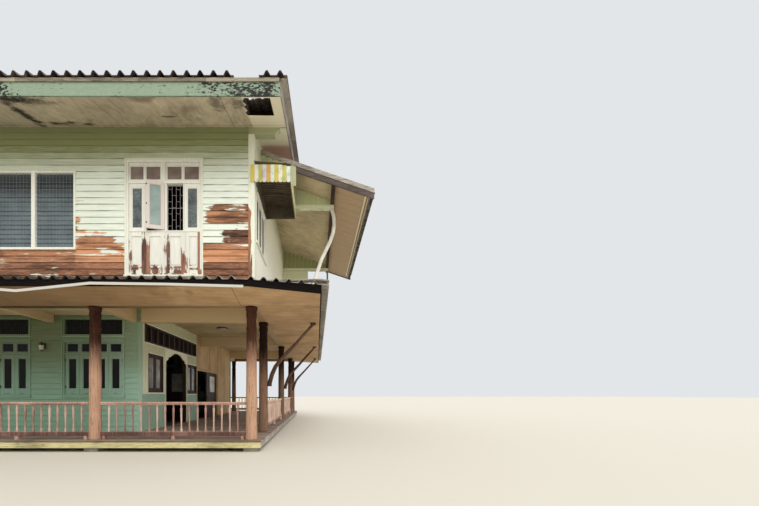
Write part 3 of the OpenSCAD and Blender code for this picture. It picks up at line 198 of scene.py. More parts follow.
# %% Flaking paint
def flaking_paint(name, paint, grimy, wood_light, wood_dark, along=0, loss=0.0, gloss=0.55, under=0.0,
                  stretch=9.0, fine=1.0, rotten=(), painted_shade_zone=None):
    """Oil paint that flakes off boards in flakes `stretch` times as long as wide. rotten is a list
    of (x, reach, amount) with more loss, and painted_shade_zone (x0, x1, hex) is painted shade that
    darkens the paint towards x1."""
    made, tree, shader = new_material(name)
    plain, grained = grain_coordinates(tree, along, stretch)
    across = add(tree, "ShaderNodeSeparateXYZ", {"Vector": plain}).outputs["X"]
    tint = add(tree, "ShaderNodeAttribute", attribute_name="tint").outputs["Fac"]
    dirt = add(tree, "ShaderNodeAttribute", attribute_name="grime_and_shade").outputs["Fac"]
    gone, patches, clinging = paint_gone(tree, plain, grained, across, tint, loss, fine, rotten)
    # Bare wood: fibres 16 mm wide, coarser than real ones so that they show, and dark damp spots
    fibres = add(tree, "ShaderNodeTexNoise", {
        "Vector": grained, "Scale": 62.0, "Detail": 6.0, "Roughness": 0.7})
    tone = add(tree, "ShaderNodeMath", {0: tint, 1: 0.55, 2: fibres}, operation="MULTIPLY_ADD")
    timber = add(tree, "ShaderNodeValToRGB", {"Fac": tone}, stops=[(0.42, wood_dark), (0.98, wood_light)])
    damp = add(tree, "ShaderNodeMapRange", {
        "Value": clinging, "From Min": 0.36, "From Max": 0.50, "To Min": 0.30, "To Max": 1.0})
    timber = add(tree, "ShaderNodeMix", {0: 1.0, 6: timber, 7: damp}, data_type="RGBA",
                 blend_type="MULTIPLY").outputs[2]
    # Paint that is left: dirt lies on it in streaks 40 mm wide
    streaks = add(tree, "ShaderNodeTexNoise", {"Vector": grained, "Scale": 24.0, "Detail": 5.0})
    soil = add(tree, "ShaderNodeMath", {0: streaks, 1: 0.5, 2: -0.14}, operation="MULTIPLY_ADD")
    soil = add(tree, "ShaderNodeMath", {0: soil, 1: dirt}, operation="ADD", use_clamp=True)
    coat = add(tree, "ShaderNodeMix", {0: soil, 6: linear(paint), 7: linear(grimy)},
               data_type="RGBA").outputs[2]
    # Painted shade: the paint darkens towards x1, deep under the veranda
    if painted_shade_zone:
        painted_shade = add(tree, "ShaderNodeMapRange", {"Value": across, "From Min": painted_shade_zone[0], "From Max": painted_shade_zone[1]})
        coat = add(tree, "ShaderNodeMix", {0: painted_shade, 6: coat, 7: linear(painted_shade_zone[2])}, data_type="RGBA",
                   blend_type="MULTIPLY").outputs[2]
    face = add(tree, "ShaderNodeMix", {0: gone, 6: coat, 7: timber}, data_type="RGBA").outputs[2]
    # Faces that look down, under each lap, darken: dirt that rain never washes off, and painted shade for the
    # lap's shadow
    facing = add(tree, "ShaderNodeNewGeometry").outputs["Normal"]
    facing = add(tree, "ShaderNodeSeparateXYZ", {"Vector": facing}).outputs["Z"]
    deep = add(tree, "ShaderNodeMapRange", {"Value": dirt, "To Min": under, "To Max": 0.35 * under})
    lap = add(tree, "ShaderNodeMapRange", {
        "Value": facing, "From Min": -0.6, "From Max": -0.9, "To Max": deep})
    broken = add(tree, "ShaderNodeMapRange", {
        "Value": patches, "From Min": 0.38, "From Max": 0.62, "To Min": 0.15, "To Max": 1.0})
    lap = add(tree, "ShaderNodeMath", {0: lap, 1: broken}, operation="MULTIPLY")
    face = add(tree, "ShaderNodeMix", {0: lap, 6: face, 7: linear("#2b281d")}, data_type="RGBA").outputs[2]
    rough = add(tree, "ShaderNodeMapRange", {"Value": gone, "To Min": gloss, "To Max": 0.88})
    relief = add(tree, "ShaderNodeMath", {0: gone, 1: -0.8, 2: fibres}, operation="MULTIPLY_ADD")
    bump = add(tree, "ShaderNodeBump", {"Height": relief, "Strength": 0.35, "Distance": 0.003})
    feed(shader, {"Base Color": face, "Roughness": rough, "Normal": bump})
    return made


# %% Paints of this house
# Upper wall: mint oil paint bleached nearly white, over red-brown hardwood
upper = ("#f3faee", "#8b9166", "#d6986f", "#5a372b")
upper_paint = flaking_paint("bleached_mint_paint", *upper, under=0.85)
upper_paint_y = flaking_paint("bleached_mint_paint_left", *upper, along=1, under=0.85)
# Casings and corner boards: the same white, a little greyer
casing_paint = flaking_paint("casing_oil_paint", "#f3f4e4", "#9fa080", "#a97658", "#553629", along=2,
                             loss=-0.02)
# Upright boards of the right wall: cream oil paint, sheltered and hardly flaked
cream_paint = flaking_paint("cream_oil_paint", "#fcfcee", "#b0b08a", "#a3714c", "#4f3325", along=2,
                            loss=-0.04)
# The side wall under the veranda: a yellower cream
side_paint = flaking_paint("side_wall_cream_paint", "#f6fadb", "#b9bb90", "#93704e", "#4f3325", along=2,
                           loss=-0.09)
# Lower walls: mint oil paint, green where light reaches it and olive with mould at the top, and
# mint_shade_zone darkens it towards the deep left end of the veranda: painted shade
mint, mint_shade_zone = ("#a3cbb4", "#7a7c4e", "#8a6044", "#4a3023"), (-3.4, -4.7, "#ccd4cc")
mint_paint = flaking_paint("mint_oil_paint", *mint, loss=-0.12, under=0.6, painted_shade_zone=mint_shade_zone)
mint_paint_y = flaking_paint("mint_oil_paint_left", *mint, along=1, loss=-0.12, under=0.6,
                             painted_shade_zone=mint_shade_zone)
# Window timber downstairs: a bluer mint with a slight gloss, and painted shade towards the left end
window_mint = flaking_paint("mint_window_enamel", "#a5c9b6", "#7f8a66", "#8a6a4c", "#4b3a2c", along=2,
                            loss=-0.06, gloss=0.5, painted_shade_zone=(-3.4, -4.7, "#c6d0c6"))
# Tall windows: white enamel, with brown wood where hands and rain have been
window_white = flaking_paint("chalky_white_enamel", "#f1f0e6", "#a8a391", "#a67860", "#5a4034", along=2,
                             loss=-0.01, gloss=0.5)
# The ajar leaves: white enamel gone, pink primer showing through
pink_primer = flaking_paint("pink_window_primer", "#ddd2ca", "#b29a90", "#a9765f", "#5d4336", along=2,
                            loss=-0.02, gloss=0.55)
# Doors and side windows: dark brown stain, hardly any gloss left
dark_stain = flaking_paint("dark_door_stain", "#3e241b", "#1d1411", "#5e3b2a", "#2c1b14", along=2,
                           loss=-0.07, gloss=0.62)
# Wall plates under the eaves: the wall's paint under years of soot
plate_paint = flaking_paint("sooty_plate_paint", "#a9ac8a", "#6b6a4c", "#7a5a40", "#3b2a20", loss=-0.04)
# Screens of the side roof, their rails, and the rear screen. The rails take a paler copy of the paint,
# painted light thrown up off the lower roof, and the rear screen a darker copy, painted shade for its deep
# shade
screen_paint = flaking_paint("pale_green_screen", "#d9dfb0", "#9aa073", "#7c6a4c", "#43382a", along=2,
                             loss=-0.1)
shaded_screen_paint = flaking_paint("rear_screen_painted_shade", "#a6a877", "#77774f", "#5c4c36", "#33291f", along=2,
                                 loss=-0.1)
lit_rail_paint = flaking_paint("screen_rail_painted_light", "#e4e9c8", "#a3a67c", "#7c6a4c", "#43382a", loss=-0.08,
                                under=0.7)
# Cream laths and the cover strips of the plywood
lath_paint = flaking_paint("cream_lath_paint", "#e8dfc4", "#a59572", "#8a6c4c", "#4a3a2c", loss=-0.05)
batten_paint = flaking_paint("plywood_strip_paint", "#a78b64", "#6f5a40", "#6f5238", "#3f2f22", along=2,
                             loss=-0.08)
print("paints from", upper_paint.name, "to", batten_paint.name)

# %% [markdown]
# ## Bare timber
# Posts, rails, deck and verge boards have little paint left. Old wood shows long dark
# checks, silver fibres between them, and a slow change of colour from board to board.
# Stretched noise gives the fibres, and a much thinner stretched noise cuts the checks.

# %% Bare timber
def bare_timber(name, light, mid, dark, along=0, checks=0.55, gloss=0.8, low=None):
    """Weathered wood whose fibres run along axis `along`. `low` is (height, hex): a faded foot."""
    made, tree, shader = new_material(name)
    plain, grained = grain_coordinates(tree, along, 14.0)
    tint = add(tree, "ShaderNodeAttribute", attribute_name="tint").outputs["Fac"]
    # Fibres 22 mm wide, coarser than real ones so that they show, over clouds of 0.6 m
    fibres = add(tree, "ShaderNodeTexNoise", {
        "Vector": grained, "Scale": 46.0, "Detail": 8.0, "Roughness": 0.68})
    clouds = add(tree, "ShaderNodeTexNoise", {"Vector": plain, "Scale": 1.7, "Detail": 4.0})
    tone = add(tree, "ShaderNodeMath", {0: clouds, 1: 0.55, 2: -0.18}, operation="MULTIPLY_ADD")
    tone = add(tree, "ShaderNodeMath", {0: fibres, 1: 0.75, 2: tone}, operation="MULTIPLY_ADD")
    tone = add(tree, "ShaderNodeMath", {0: tint, 1: 0.22, 2: tone}, operation="MULTIPLY_ADD")
    colour = add(tree, "ShaderNodeValToRGB", {"Fac": tone}, stops=[(0.24, dark), (0.5, mid), (0.78, light)])
    if low:
        # Below the given height rain and hands have washed the stain out of the softer fibres
        up = add(tree, "ShaderNodeSeparateXYZ", {"Vector": plain}).outputs["Z"]
        up = add(tree, "ShaderNodeMath", {0: fibres, 1: 1.7, 2: up}, operation="MULTIPLY_ADD")
        faded = add(tree, "ShaderNodeMapRange", {
            "Value": up, "From Min": low[0] + 0.85, "From Max": low[0] + 0.15})
        soft = add(tree, "ShaderNodeMath", {0: faded, 1: fibres}, operation="MULTIPLY")
        soft = add(tree, "ShaderNodeMath", {0: soft, 1: 1.75}, operation="MULTIPLY", use_clamp=True)
        washed = add(tree, "ShaderNodeMath", {0: tint, 1: 0.68, 2: 0.40}, operation="MULTIPLY_ADD")
        soft = add(tree, "ShaderNodeMath", {0: soft, 1: washed}, operation="MULTIPLY", use_clamp=True)
        colour = add(tree, "ShaderNodeMix", {0: soft, 6: colour, 7: linear(low[1])},
                     data_type="RGBA").outputs[2]
    # Checks open where the noise crosses its middle value, so they are long, thin and dark
    cracks = add(tree, "ShaderNodeTexNoise", {"Vector": grained, "Scale": 17.0, "Detail": 3.0})
    slit = add(tree, "ShaderNodeMath", {0: cracks, 1: 0.5}, operation="SUBTRACT")
    slit = add(tree, "ShaderNodeMath", {0: slit}, operation="ABSOLUTE")
    slit = add(tree, "ShaderNodeMapRange", {"Value": slit, "From Min": 0.002, "From Max": 0.014,
                                            "To Min": 1.0 - checks, "To Max": 1.0})
    face = add(tree, "ShaderNodeMix", {0: 1.0, 6: colour, 7: slit}, data_type="RGBA",
               blend_type="MULTIPLY").outputs[2]
    relief = add(tree, "ShaderNodeMath", {0: slit, 1: 1.6, 2: fibres}, operation="MULTIPLY_ADD")
    bump = add(tree, "ShaderNodeBump", {"Height": relief, "Strength": 0.45, "Distance": 0.003})
    feed(shader, {"Base Color": face, "Roughness": gloss, "Normal": bump})
    return made


# %% Woods of this house
# Hardwood posts: dark stain under the beams, faded to pink brown where rain and hands reach
post_wood = bare_timber("stained_hardwood_post", "#573729", "#2b1811", "#100906", along=2,
                        low=(2.4, "#c49c81"))
# Braces are bent hardwood poles with their bark cut off
brace_wood = bare_timber("bent_hardwood_pole", "#b08a72", "#5f4336", "#281812", along=2)
# Rails and turned balusters: red-brown enamel worn thin and dusty
enamel = {"along": 2, "checks": 0.3, "gloss": 0.6}
rail_wood = bare_timber("worn_red_enamel_rail", "#dab9aa", "#a07a6c", "#4c3028", **enamel)
rail_wood_x = bare_timber("worn_red_enamel_rail_front", "#cba697", "#98705f", "#51352c", **enamel)
rail_wood_y = bare_timber("worn_red_enamel_rail_side", "#f6ddcb", "#dcb9a3", "#8f6c59", **enamel)
# Deck boards: brown paint trodden down to grey wood
deck_wood = bare_timber("trodden_deck_board", "#b09a8a", "#877265", "#4b3d35")
deck_wood_y = bare_timber("inner_floor_board", "#8d7b70", "#66524a", "#372a25", along=1)
# Silver-grey boards of the verges and the right rim
silver_wood = bare_timber("silvered_verge_board", "#c0b7ab", "#948a80", "#4c4540", along=1)
silver_wood_x = bare_timber("silvered_barge_board", "#a49a8c", "#6c635d", "#33302d")
silver_dark = bare_timber("brown_black_barge_board", "#6f625b", "#51463f", "#2a2421")
lichen_wood = bare_timber("lichened_barge_board", "#b9b1a4", "#827970", "#3d3732", checks=0.7)
# Front rim: yellow-green paint over grey wood
rim_wood = bare_timber("faded_green_rim_board", "#e6dfb2", "#ccc28a", "#7d7250", checks=0.5)
# Rafters and purlins in the dark of the roof, and the grey batten at its edge
roof_wood = bare_timber("sooty_rafter", "#6b5648", "#43342b", "#1e1713", along=1)
edge_wood = bare_timber("grey_eave_batten", "#b3a894", "#867b69", "#474037", checks=0.7)
# Rotten front board of the lower roof, black with mould
rotten_wood = bare_timber("black_rotten_fascia", "#241d1b", "#130f0e", "#070505", checks=0.8, gloss=0.9)
for finish in (rotten_wood, post_wood, roof_wood):
    # Mould and soot take the last shine off
    finish.node_tree.nodes["Principled BSDF"].inputs["Specular IOR Level"].default_value = 0.12
print("woods from", post_wood.name, "to", rotten_wood.name)

# %% Cast concrete of the stubs under the deck
stub_concrete, tree, shader = new_material("cast_concrete_stub")
where = add(tree, "ShaderNodeTexCoord").outputs["Object"]
# Pores 17 mm across, coarser than real ones so that they show, and soil stains of 250 mm
pores = add(tree, "ShaderNodeTexNoise", {"Vector": where, "Scale": 60.0, "Detail": 8.0})
clouds = add(tree, "ShaderNodeTexNoise", {"Vector": where, "Scale": 4.0, "Detail": 4.0})
mix = add(tree, "ShaderNodeMath", {0: pores, 1: 0.4, 2: clouds}, operation="MULTIPLY_ADD")
face = add(tree, "ShaderNodeValToRGB", {"Fac": mix}, stops=[(0.45, "#5e5a50"), (0.85, "#a8a294")])
bump = add(tree, "ShaderNodeBump", {"Height": pores, "Strength": 0.5, "Distance": 0.004})
feed(shader, {"Base Color": face, "Roughness": 0.92, "Normal": bump})
print("concrete", stub_concrete.name)

# %% [markdown]
# ## Fibre cement roof sheets
# The roof sheets are pressed fibre cement, once pale grey. Years of soot, algae and lichen
# have turned them dark brown and grey in long runs down the slope, so the colour follows
# noise that is stretched along the fall of each roof.

# %% Roof sheets
def fibre_cement(name, light, mid, dark, fall=1, pale=None):
    """Aged fibre cement with runs down axis `fall`. pale is (x0, x1, hex): sheets that stayed light
    towards x1."""
    made, tree, shader = new_material(name)
    plain, runs_at = grain_coordinates(tree, fall, 6.0)
    tint = add(tree, "ShaderNodeAttribute", attribute_name="tint").outputs["Fac"]
    # Runs 200 mm wide and 1.2 m long, and grit of 11 mm, coarse enough to show
    runs = add(tree, "ShaderNodeTexNoise", {"Vector": runs_at, "Scale": 5.0, "Detail": 7.0})
    grit = add(tree, "ShaderNodeTexNoise", {"Vector": plain, "Scale": 90.0, "Detail": 5.0})
    tone = add(tree, "ShaderNodeMath", {0: grit, 1: 0.35, 2: runs}, operation="MULTIPLY_ADD")
    tone = add(tree, "ShaderNodeMath", {0: tint, 1: 0.16, 2: tone}, operation="MULTIPLY_ADD")
    face = add(tree, "ShaderNodeValToRGB", {"Fac": tone}, stops=[(0.45, dark), (0.68, mid), (0.92, light)])
    # Lichen grows in spots about 70 mm apart
    spots = add(tree, "ShaderNodeTexVoronoi", {"Vector": plain, "Scale": 14.0})
    spots = add(tree, "ShaderNodeMath", {0: grit, 1: -0.35, 2: spots}, operation="MULTIPLY_ADD")
    lichen = add(tree, "ShaderNodeMapRange", {
        "Value": spots, "From Min": 0.03, "From Max": -0.03, "To Max": 0.7})
    face = add(tree, "ShaderNodeMix", {0: lichen, 6: face, 7: linear("#a5a28e")}, data_type="RGBA").outputs[2]
    if pale:
        along = add(tree, "ShaderNodeSeparateXYZ", {"Vector": plain}).outputs["X"]
        share = add(tree, "ShaderNodeMapRange", {"Value": along, "From Min": pale[0], "From Max": pale[1]})
        share = add(tree, "ShaderNodeMath", {0: share, 1: runs}, operation="MULTIPLY")
        face = add(tree, "ShaderNodeMix", {0: share, 6: face, 7: linear(pale[2])},
                   data_type="RGBA").outputs[2]
    bump = add(tree, "ShaderNodeBump", {"Height": grit, "Strength": 0.4, "Distance": 0.003})
    feed(shader, {"Base Color": face, "Roughness": 0.9, "Normal": bump})
    return made


roof_cement = fibre_cement("sooted_fibre_cement", "#7f746c", "#554a45", "#2b2423")
low_cement = fibre_cement("lower_fibre_cement", "#6e635b", "#463c37", "#221d1b", pale=(-2.2, 0.8, "#d8cfc0"))
side_cement = fibre_cement("sooted_fibre_cement_side", "#7d766c", "#544c47", "#2c2725", fall=0)
cap_cement = fibre_cement("fibre_cement_cap", "#d6d0c4", "#a39b90", "#4f4943", fall=0)
print("sheets", roof_cement.name, low_cement.name, side_cement.name, cap_cement.name)

# %% [markdown]
# ## Stained ceilings
# The ceilings under the eaves are thin sheets painted tan, each about 1.2 m wide, with
# dark joints and dark rings where the roof has leaked. The joints come from the distance
# to the nearest sheet edge in real metres, and the stains from noise that is allowed only
# in a few patches.

# %% Ceiling sheets
def ceiling_sheet(name, light, dark, stain, wide=(1.22, 0.61), shift=(0.0, 0.0), axes=("X", "Y"), leak=0.5,
                  joint=0.55, zones=(), smears=(0.6, 5.0, 5.0), spots=()):
    """Painted sheets with joints every wide[0] by wide[1] metres. zones are (axis, start, end, hex),
    and spots are black leaks (x, y, half width, half depth, strength)."""
    made, tree, shader = new_material(name)
    plain = add(tree, "ShaderNodeTexCoord").outputs["Object"]
    parts = add(tree, "ShaderNodeSeparateXYZ", {"Vector": plain})
    # Joints 10 mm wide, which wander by up to 20 mm
    wander = add(tree, "ShaderNodeTexNoise", {"Vector": plain, "Scale": 2.0, "Detail": 2.0})
    joints = []
    for axis, size, start in zip(axes, wide, shift):
        step = add(tree, "ShaderNodeMath", {0: wander, 1: 0.02, 2: parts.outputs[axis]},
                   operation="MULTIPLY_ADD")
        step = add(tree, "ShaderNodeMath", {0: step, 1: start}, operation="ADD")
        step = add(tree, "ShaderNodeMath", {0: step, 1: size}, operation="PINGPONG")
        joints.append(add(tree, "ShaderNodeMapRange", {
            "Value": step, "From Min": 0.004, "From Max": 0.010, "To Min": joint, "To Max": 1.0}))
    lines = add(tree, "ShaderNodeMath", {0: joints[0], 1: joints[1]}, operation="MINIMUM")
    # Emulsion: clouds 0.9 m across under brushed smears, and faded or sooty zones
    clouds = add(tree, "ShaderNodeTexNoise", {"Vector": plain, "Scale": 1.1, "Detail": 5.0, "Roughness": 0.6})
    brushed = add(tree, "ShaderNodeMapping", {"Vector": plain, "Scale": smears})
    brushed = add(tree, "ShaderNodeTexNoise", {"Vector": brushed, "Scale": 3.0, "Detail": 5.0})
    tone = add(tree, "ShaderNodeMath", {0: brushed, 1: 0.6, 2: clouds}, operation="MULTIPLY_ADD")
    base = add(tree, "ShaderNodeMapRange", {"Value": tone, "From Min": 0.6, "From Max": 1.0})
    coat = add(tree, "ShaderNodeMix", {0: base, 6: linear(dark), 7: linear(light)},
               data_type="RGBA").outputs[2]
    for axis, start, end, code in zones:
        share = add(tree, "ShaderNodeMapRange", {
            "Value": parts.outputs[axis], "From Min": start, "From Max": end, "To Max": 0.85})
        coat = add(tree, "ShaderNodeMix", {0: share, 6: coat, 7: linear(code)}, data_type="RGBA").outputs[2]
    # Brown water stains about 1.2 m apart, and the black leaks with their ragged edges
    wet = add(tree, "ShaderNodeTexNoise", {
        "Vector": plain, "Scale": 0.85, "Detail": 6.0, "Roughness": 0.55, "Distortion": 0.6})
    wet = add(tree, "ShaderNodeMapRange", {"Value": wet, "From Min": 0.60, "From Max": 0.72, "To Max": leak})
    coat = add(tree, "ShaderNodeMix", {0: wet, 6: coat, 7: linear(stain)}, data_type="RGBA").outputs[2]
    ragged = add(tree, "ShaderNodeTexNoise", {"Vector": plain, "Scale": 9.0, "Detail": 6.0, "Roughness": 0.7})
    for x, y, wide_x, wide_y, strength in spots:
        away = add(tree, "ShaderNodeMapping", {"Vector": plain, "Scale": (1 / wide_x, 1 / wide_y, 0.0),
                                               "Location": (-x / wide_x, -y / wide_y, 0.0)})
        away = add(tree, "ShaderNodeVectorMath", {0: away}, operation="LENGTH").outputs["Value"]
        away = add(tree, "ShaderNodeMath", {0: ragged, 1: -2.6, 2: away}, operation="MULTIPLY_ADD")
        away = add(tree, "ShaderNodeMapRange", {
            "Value": away, "From Min": -0.2, "From Max": -0.9, "To Max": strength})
        coat = add(tree, "ShaderNodeMix", {0: away, 6: coat, 7: linear("#1d1914")},
                   data_type="RGBA").outputs[2]
    face = add(tree, "ShaderNodeMix", {0: 1.0, 6: coat, 7: lines}, data_type="RGBA",
               blend_type="MULTIPLY").outputs[2]
    bump = add(tree, "ShaderNodeBump", {"Height": lines, "Strength": 0.6, "Distance": 0.004})
    feed(shader, {"Base Color": face, "Roughness": 0.85, "Normal": bump})
    return made


# %% Ceilings of this house
# Main eaves: tan emulsion on cement board, greyer to the left, cream then pink along the right verge
leaks = [(-4.5, -0.5, 0.13, 0.62, 0.95), (-4.3, -1.1, 0.50, 0.17, 0.95), (-4.11, -0.23, 0.20, 0.08, 0.85),
         (-3.77, -0.26, 0.15, 0.08, 0.8), (-3.45, -0.2, 0.14, 0.07, 0.8), (-3.9, -1.0, 0.45, 0.15, 0.55),
         (-0.48, -0.95, 0.16, 0.32, 0.6), (-0.08, -0.95, 0.18, 0.22, 0.6), (-1.6, -0.49, 0.18, 0.04, 0.7),
         (-6.9, -0.8, 0.5, 0.3, 0.6), (-9.4, -0.4, 0.6, 0.3, 0.5)]
eave_zones = [("X", -3.5, -9.0, "#9d9c8e"), ("X", 0.02, 0.07, "#f0ead0"), ("Y", 0.75, 0.9, "#d5a28e"),
              ("Y", 11.9, 12.0, "#b09c7c")]
eave_sheet = ceiling_sheet("tan_eave_sheet", "#d9cbb0", "#a99b85", "#574534", (1.22, 0.58), (0.35, 0.14),
                           leak=0.6, zones=eave_zones, smears=(5.0, 0.5, 5.0), spots=leaks)
# Lower eaves: warmer tan, long sheets with faint cracks, and painted shade darker towards the left end
low_eave_sheet = ceiling_sheet("warm_tan_eave_sheet", "#cba97f", "#a5835b", "#6d5030", (2.4, 0.45),
                               (0.2, 0.05), joint=0.45, zones=[("X", -1.0, -4.6, "#7c603f")])
# Veranda ceilings between the beams
veranda_sheet = ceiling_sheet("cream_veranda_ceiling", "#d6c39c", "#b09c76", "#6a5836", (1.2, 1.2),
                              (0.1, 0.3), leak=0.35, joint=0.7)
# Side roof ceiling: cream sheets falling outwards, browner outside the long beam
side_sheet = ceiling_sheet("cream_side_ceiling", "#cfbf9d", "#a6977a", "#7b694b", (1.22, 1.22), (0.1, 0.2),
                           joint=0.6, zones=[("X", 1.88, 1.92, "#a98f74")])
# Plywood panels by the double door, oiled tan
plywood = ceiling_sheet("oiled_plywood", "#d8bd94", "#b4956a", "#7c6340", (1.6, 2.4), (0.9, 0.0), ("Y", "Z"),
                        leak=0.3, joint=0.7)
print("ceilings", eave_sheet.name, low_eave_sheet.name, veranda_sheet.name, side_sheet.name)

# %% Painted timber under the roofs
# Beams and battens painted like the ceilings, with painted shade that darkens them towards the left
tan_beam = flaking_paint("tan_beam_paint", "#ab8c66", "#7d6844", "#7d5a3c", "#4c3424", loss=-0.10,
                         painted_shade_zone=(-0.4, -4.4, "#807b77"))
tan_beam_y = flaking_paint("tan_cross_beam_paint", "#d4ba90", "#8d7850", "#7d5a3c", "#4c3424", along=1,
                           loss=-0.10)
# Narrow planks under the outer part of the side roof
plank_paint = flaking_paint("brown_eave_plank", "#b69b7c", "#86704f", "#7d5f45", "#4c3826", loss=-0.08)
# Mint fascia with black mould, and white trim under the lower roof
fascia_paint = flaking_paint("mouldy_mint_fascia", "#90a48c", "#4d5446", "#4c4a40", "#1d1c1a", loss=0.168,
                             under=0.6, stretch=2.0, fine=2.2,
                             rotten=[(-4.5, 0.8, 0.045), (0.45, 1.25, 0.09), (-8.0, 0.8, 0.05)])
trim_paint = flaking_paint("white_trim_paint", "#ccc9c1", "#b8a584", "#a88a64", "#5a4633", loss=-0.03)
print("paints from", tan_beam.name, "to", trim_paint.name)

# %% [markdown]
# ## Glass, plastic and sheet metal
# The windows are dark inside. Plain dusty glass would show nothing of that, so the glass
# is a smooth dark dielectric under a film of dust. The louvre blades are paler and bluer:
# each one leans back and catches the sky, and that reflection is painted into their colour.

# %% Glass under dust
def dusty_glass(name, tone, dust, pattern=0.0, veil=0.35, rough=0.12, sheen=0.5):
    """Glass seen against a dark room: a dark body, a sharp gloss and a film of dust. pattern is the
    number of curls to the metre in figured glass."""
    made, tree, shader = new_material(name)
    plain = add(tree, "ShaderNodeTexCoord").outputs["Object"]
    film = add(tree, "ShaderNodeTexNoise", {"Vector": plain, "Scale": 3.0, "Detail": 6.0})
    film = add(tree, "ShaderNodeMapRange", {"Value": film, "From Min": 0.35, "From Max": 0.7, "To Max": veil})
    if pattern:
        curls = add(tree, "ShaderNodeTexVoronoi", {"Vector": plain, "Scale": pattern},
                    feature="DISTANCE_TO_EDGE")
        edge = add(tree, "ShaderNodeMapRange", {
            "Value": curls, "From Min": 0.10, "From Max": 0.02, "To Max": 0.5})
        film = add(tree, "ShaderNodeMath", {0: film, 1: edge}, operation="ADD", use_clamp=True)
        feed(shader, {"Normal": add(tree, "ShaderNodeBump", {
            "Height": curls, "Strength": 0.6, "Distance": 0.002})})
    face = add(tree, "ShaderNodeMix", {0: film, 6: linear(tone), 7: linear(dust)},
               data_type="RGBA").outputs[2]
    # Blades high up in the rack lie in the shade of the eaves, painted in through grime_and_shade
    painted_shade = add(tree, "ShaderNodeAttribute", attribute_name="grime_and_shade").outputs["Fac"]
    face = add(tree, "ShaderNodeMix", {0: painted_shade, 6: face, 7: linear("#23282c")}, data_type="RGBA").outputs[2]
    feed(shader, {"Base Color": face, "Roughness": rough, "IOR": 1.5, "Specular IOR Level": sheen})
    return made


dark_glass = dusty_glass("dark_pane_glass", "#0b0d0c", "#1f2422", rough=0.16, sheen=0.1)
curl_glass = dusty_glass("figured_glass", "#30373a", "#8f9895", pattern=26.0)
# Door panes: pale figured glass with paper behind
door_glass = dusty_glass("figured_door_glass", "#8f9188", "#d8d8cb", pattern=18.0, veil=0.9, rough=0.3)
frost_glass = dusty_glass("frosted_pane_glass", "#7d938e", "#b4beb6", veil=0.6, rough=0.35)
blade_glass_painted_sky = dusty_glass("louvre_glass_painted_sky", "#5b666b", "#7d888b", veil=0.7, rough=0.3)
# Side windows: a thick film of dust over an old brown blind
hazy_glass = dusty_glass("hazy_side_glass", "#4a4a44", "#a9a79b", veil=0.9, rough=0.2)
# Lights over the tall windows: brown paper behind the panes
brown_glass = dusty_glass("papered_light_glass", "#6a5a52", "#a09186", veil=0.6, rough=0.3)
lamp_glass = dusty_glass("opal_lamp_glass", "#b9b4a4", "#8d8672", veil=0.6, rough=0.3)
print("panes from", dark_glass.name, "to", lamp_glass.name)


# %% Plastic and painted metal
def dull_coat(name, colour, dirt, rough=0.5, metallic=0.0, scale=6.0, amount=0.5):
    """A smooth coated surface, plastic or painted metal, with dirt in clouds 1 / scale metres wide."""
    made, tree, shader = new_material(name)
    plain = add(tree, "ShaderNodeTexCoord").outputs["Object"]
    clouds = add(tree, "ShaderNodeTexNoise", {
        "Vector": plain, "Scale": scale, "Detail": 6.0, "Roughness": 0.65})
    share = add(tree, "ShaderNodeMapRange", {
        "Value": clouds, "From Min": 0.42, "From Max": 0.72, "To Max": amount})
    face = add(tree, "ShaderNodeMix", {0: share, 6: linear(colour), 7: linear(dirt)},
               data_type="RGBA").outputs[2]
    bump = add(tree, "ShaderNodeBump", {"Height": clouds, "Strength": 0.12, "Distance": 0.002})
    feed(shader, {"Base Color": face, "Roughness": rough, "Metallic": metallic, "Normal": bump})
    return made


pvc_white = dull_coat("weathered_pvc_pipe", "#e9e6dc", "#a79a86", 0.4, amount=0.6, scale=3.0)
post_steel = dull_coat("painted_steel_tube", "#9c948a", "#5b4636", 0.55, 0.2)
lamp_black = dull_coat("black_lantern_enamel", "#3a352f", "#6b5a48", 0.45, 0.3, 20.0)
wire_grey = dull_coat("galvanised_mesh_wire", "#8d979b", "#5c5f5e", 0.45, 0.4)
hinge_iron = dull_coat("rusted_strap_iron", "#4b3a30", "#2a211c", 0.7, 0.2, 30.0)
slat_and_shade_black = dull_coat("black_slats_and_shade_sheet", "#0f0c0a", "#1a1511", 0.75, scale=5.0)
grille_white = dull_coat("pale_bar_enamel", "#a8a0a2", "#6f686a")
awning_dark = dull_coat("shaded_awning_sheet", "#6e6250", "#3a342b", 0.6, scale=4.0, amount=0.7)
inner_dark = dull_coat("dim_inner_boards", "#6e5a45", "#3c3126", 0.8, scale=2.0)
print("coats from", pvc_white.name, "to", inner_dark.name)

# %% [markdown]
# ## Dress the solids that keep their own shape
# Beams, floors, posts and sheets already have their true shape as solids, so they only
# take a material here. The grain has to run along each piece, which is why some finishes
# exist twice, once for each direction.

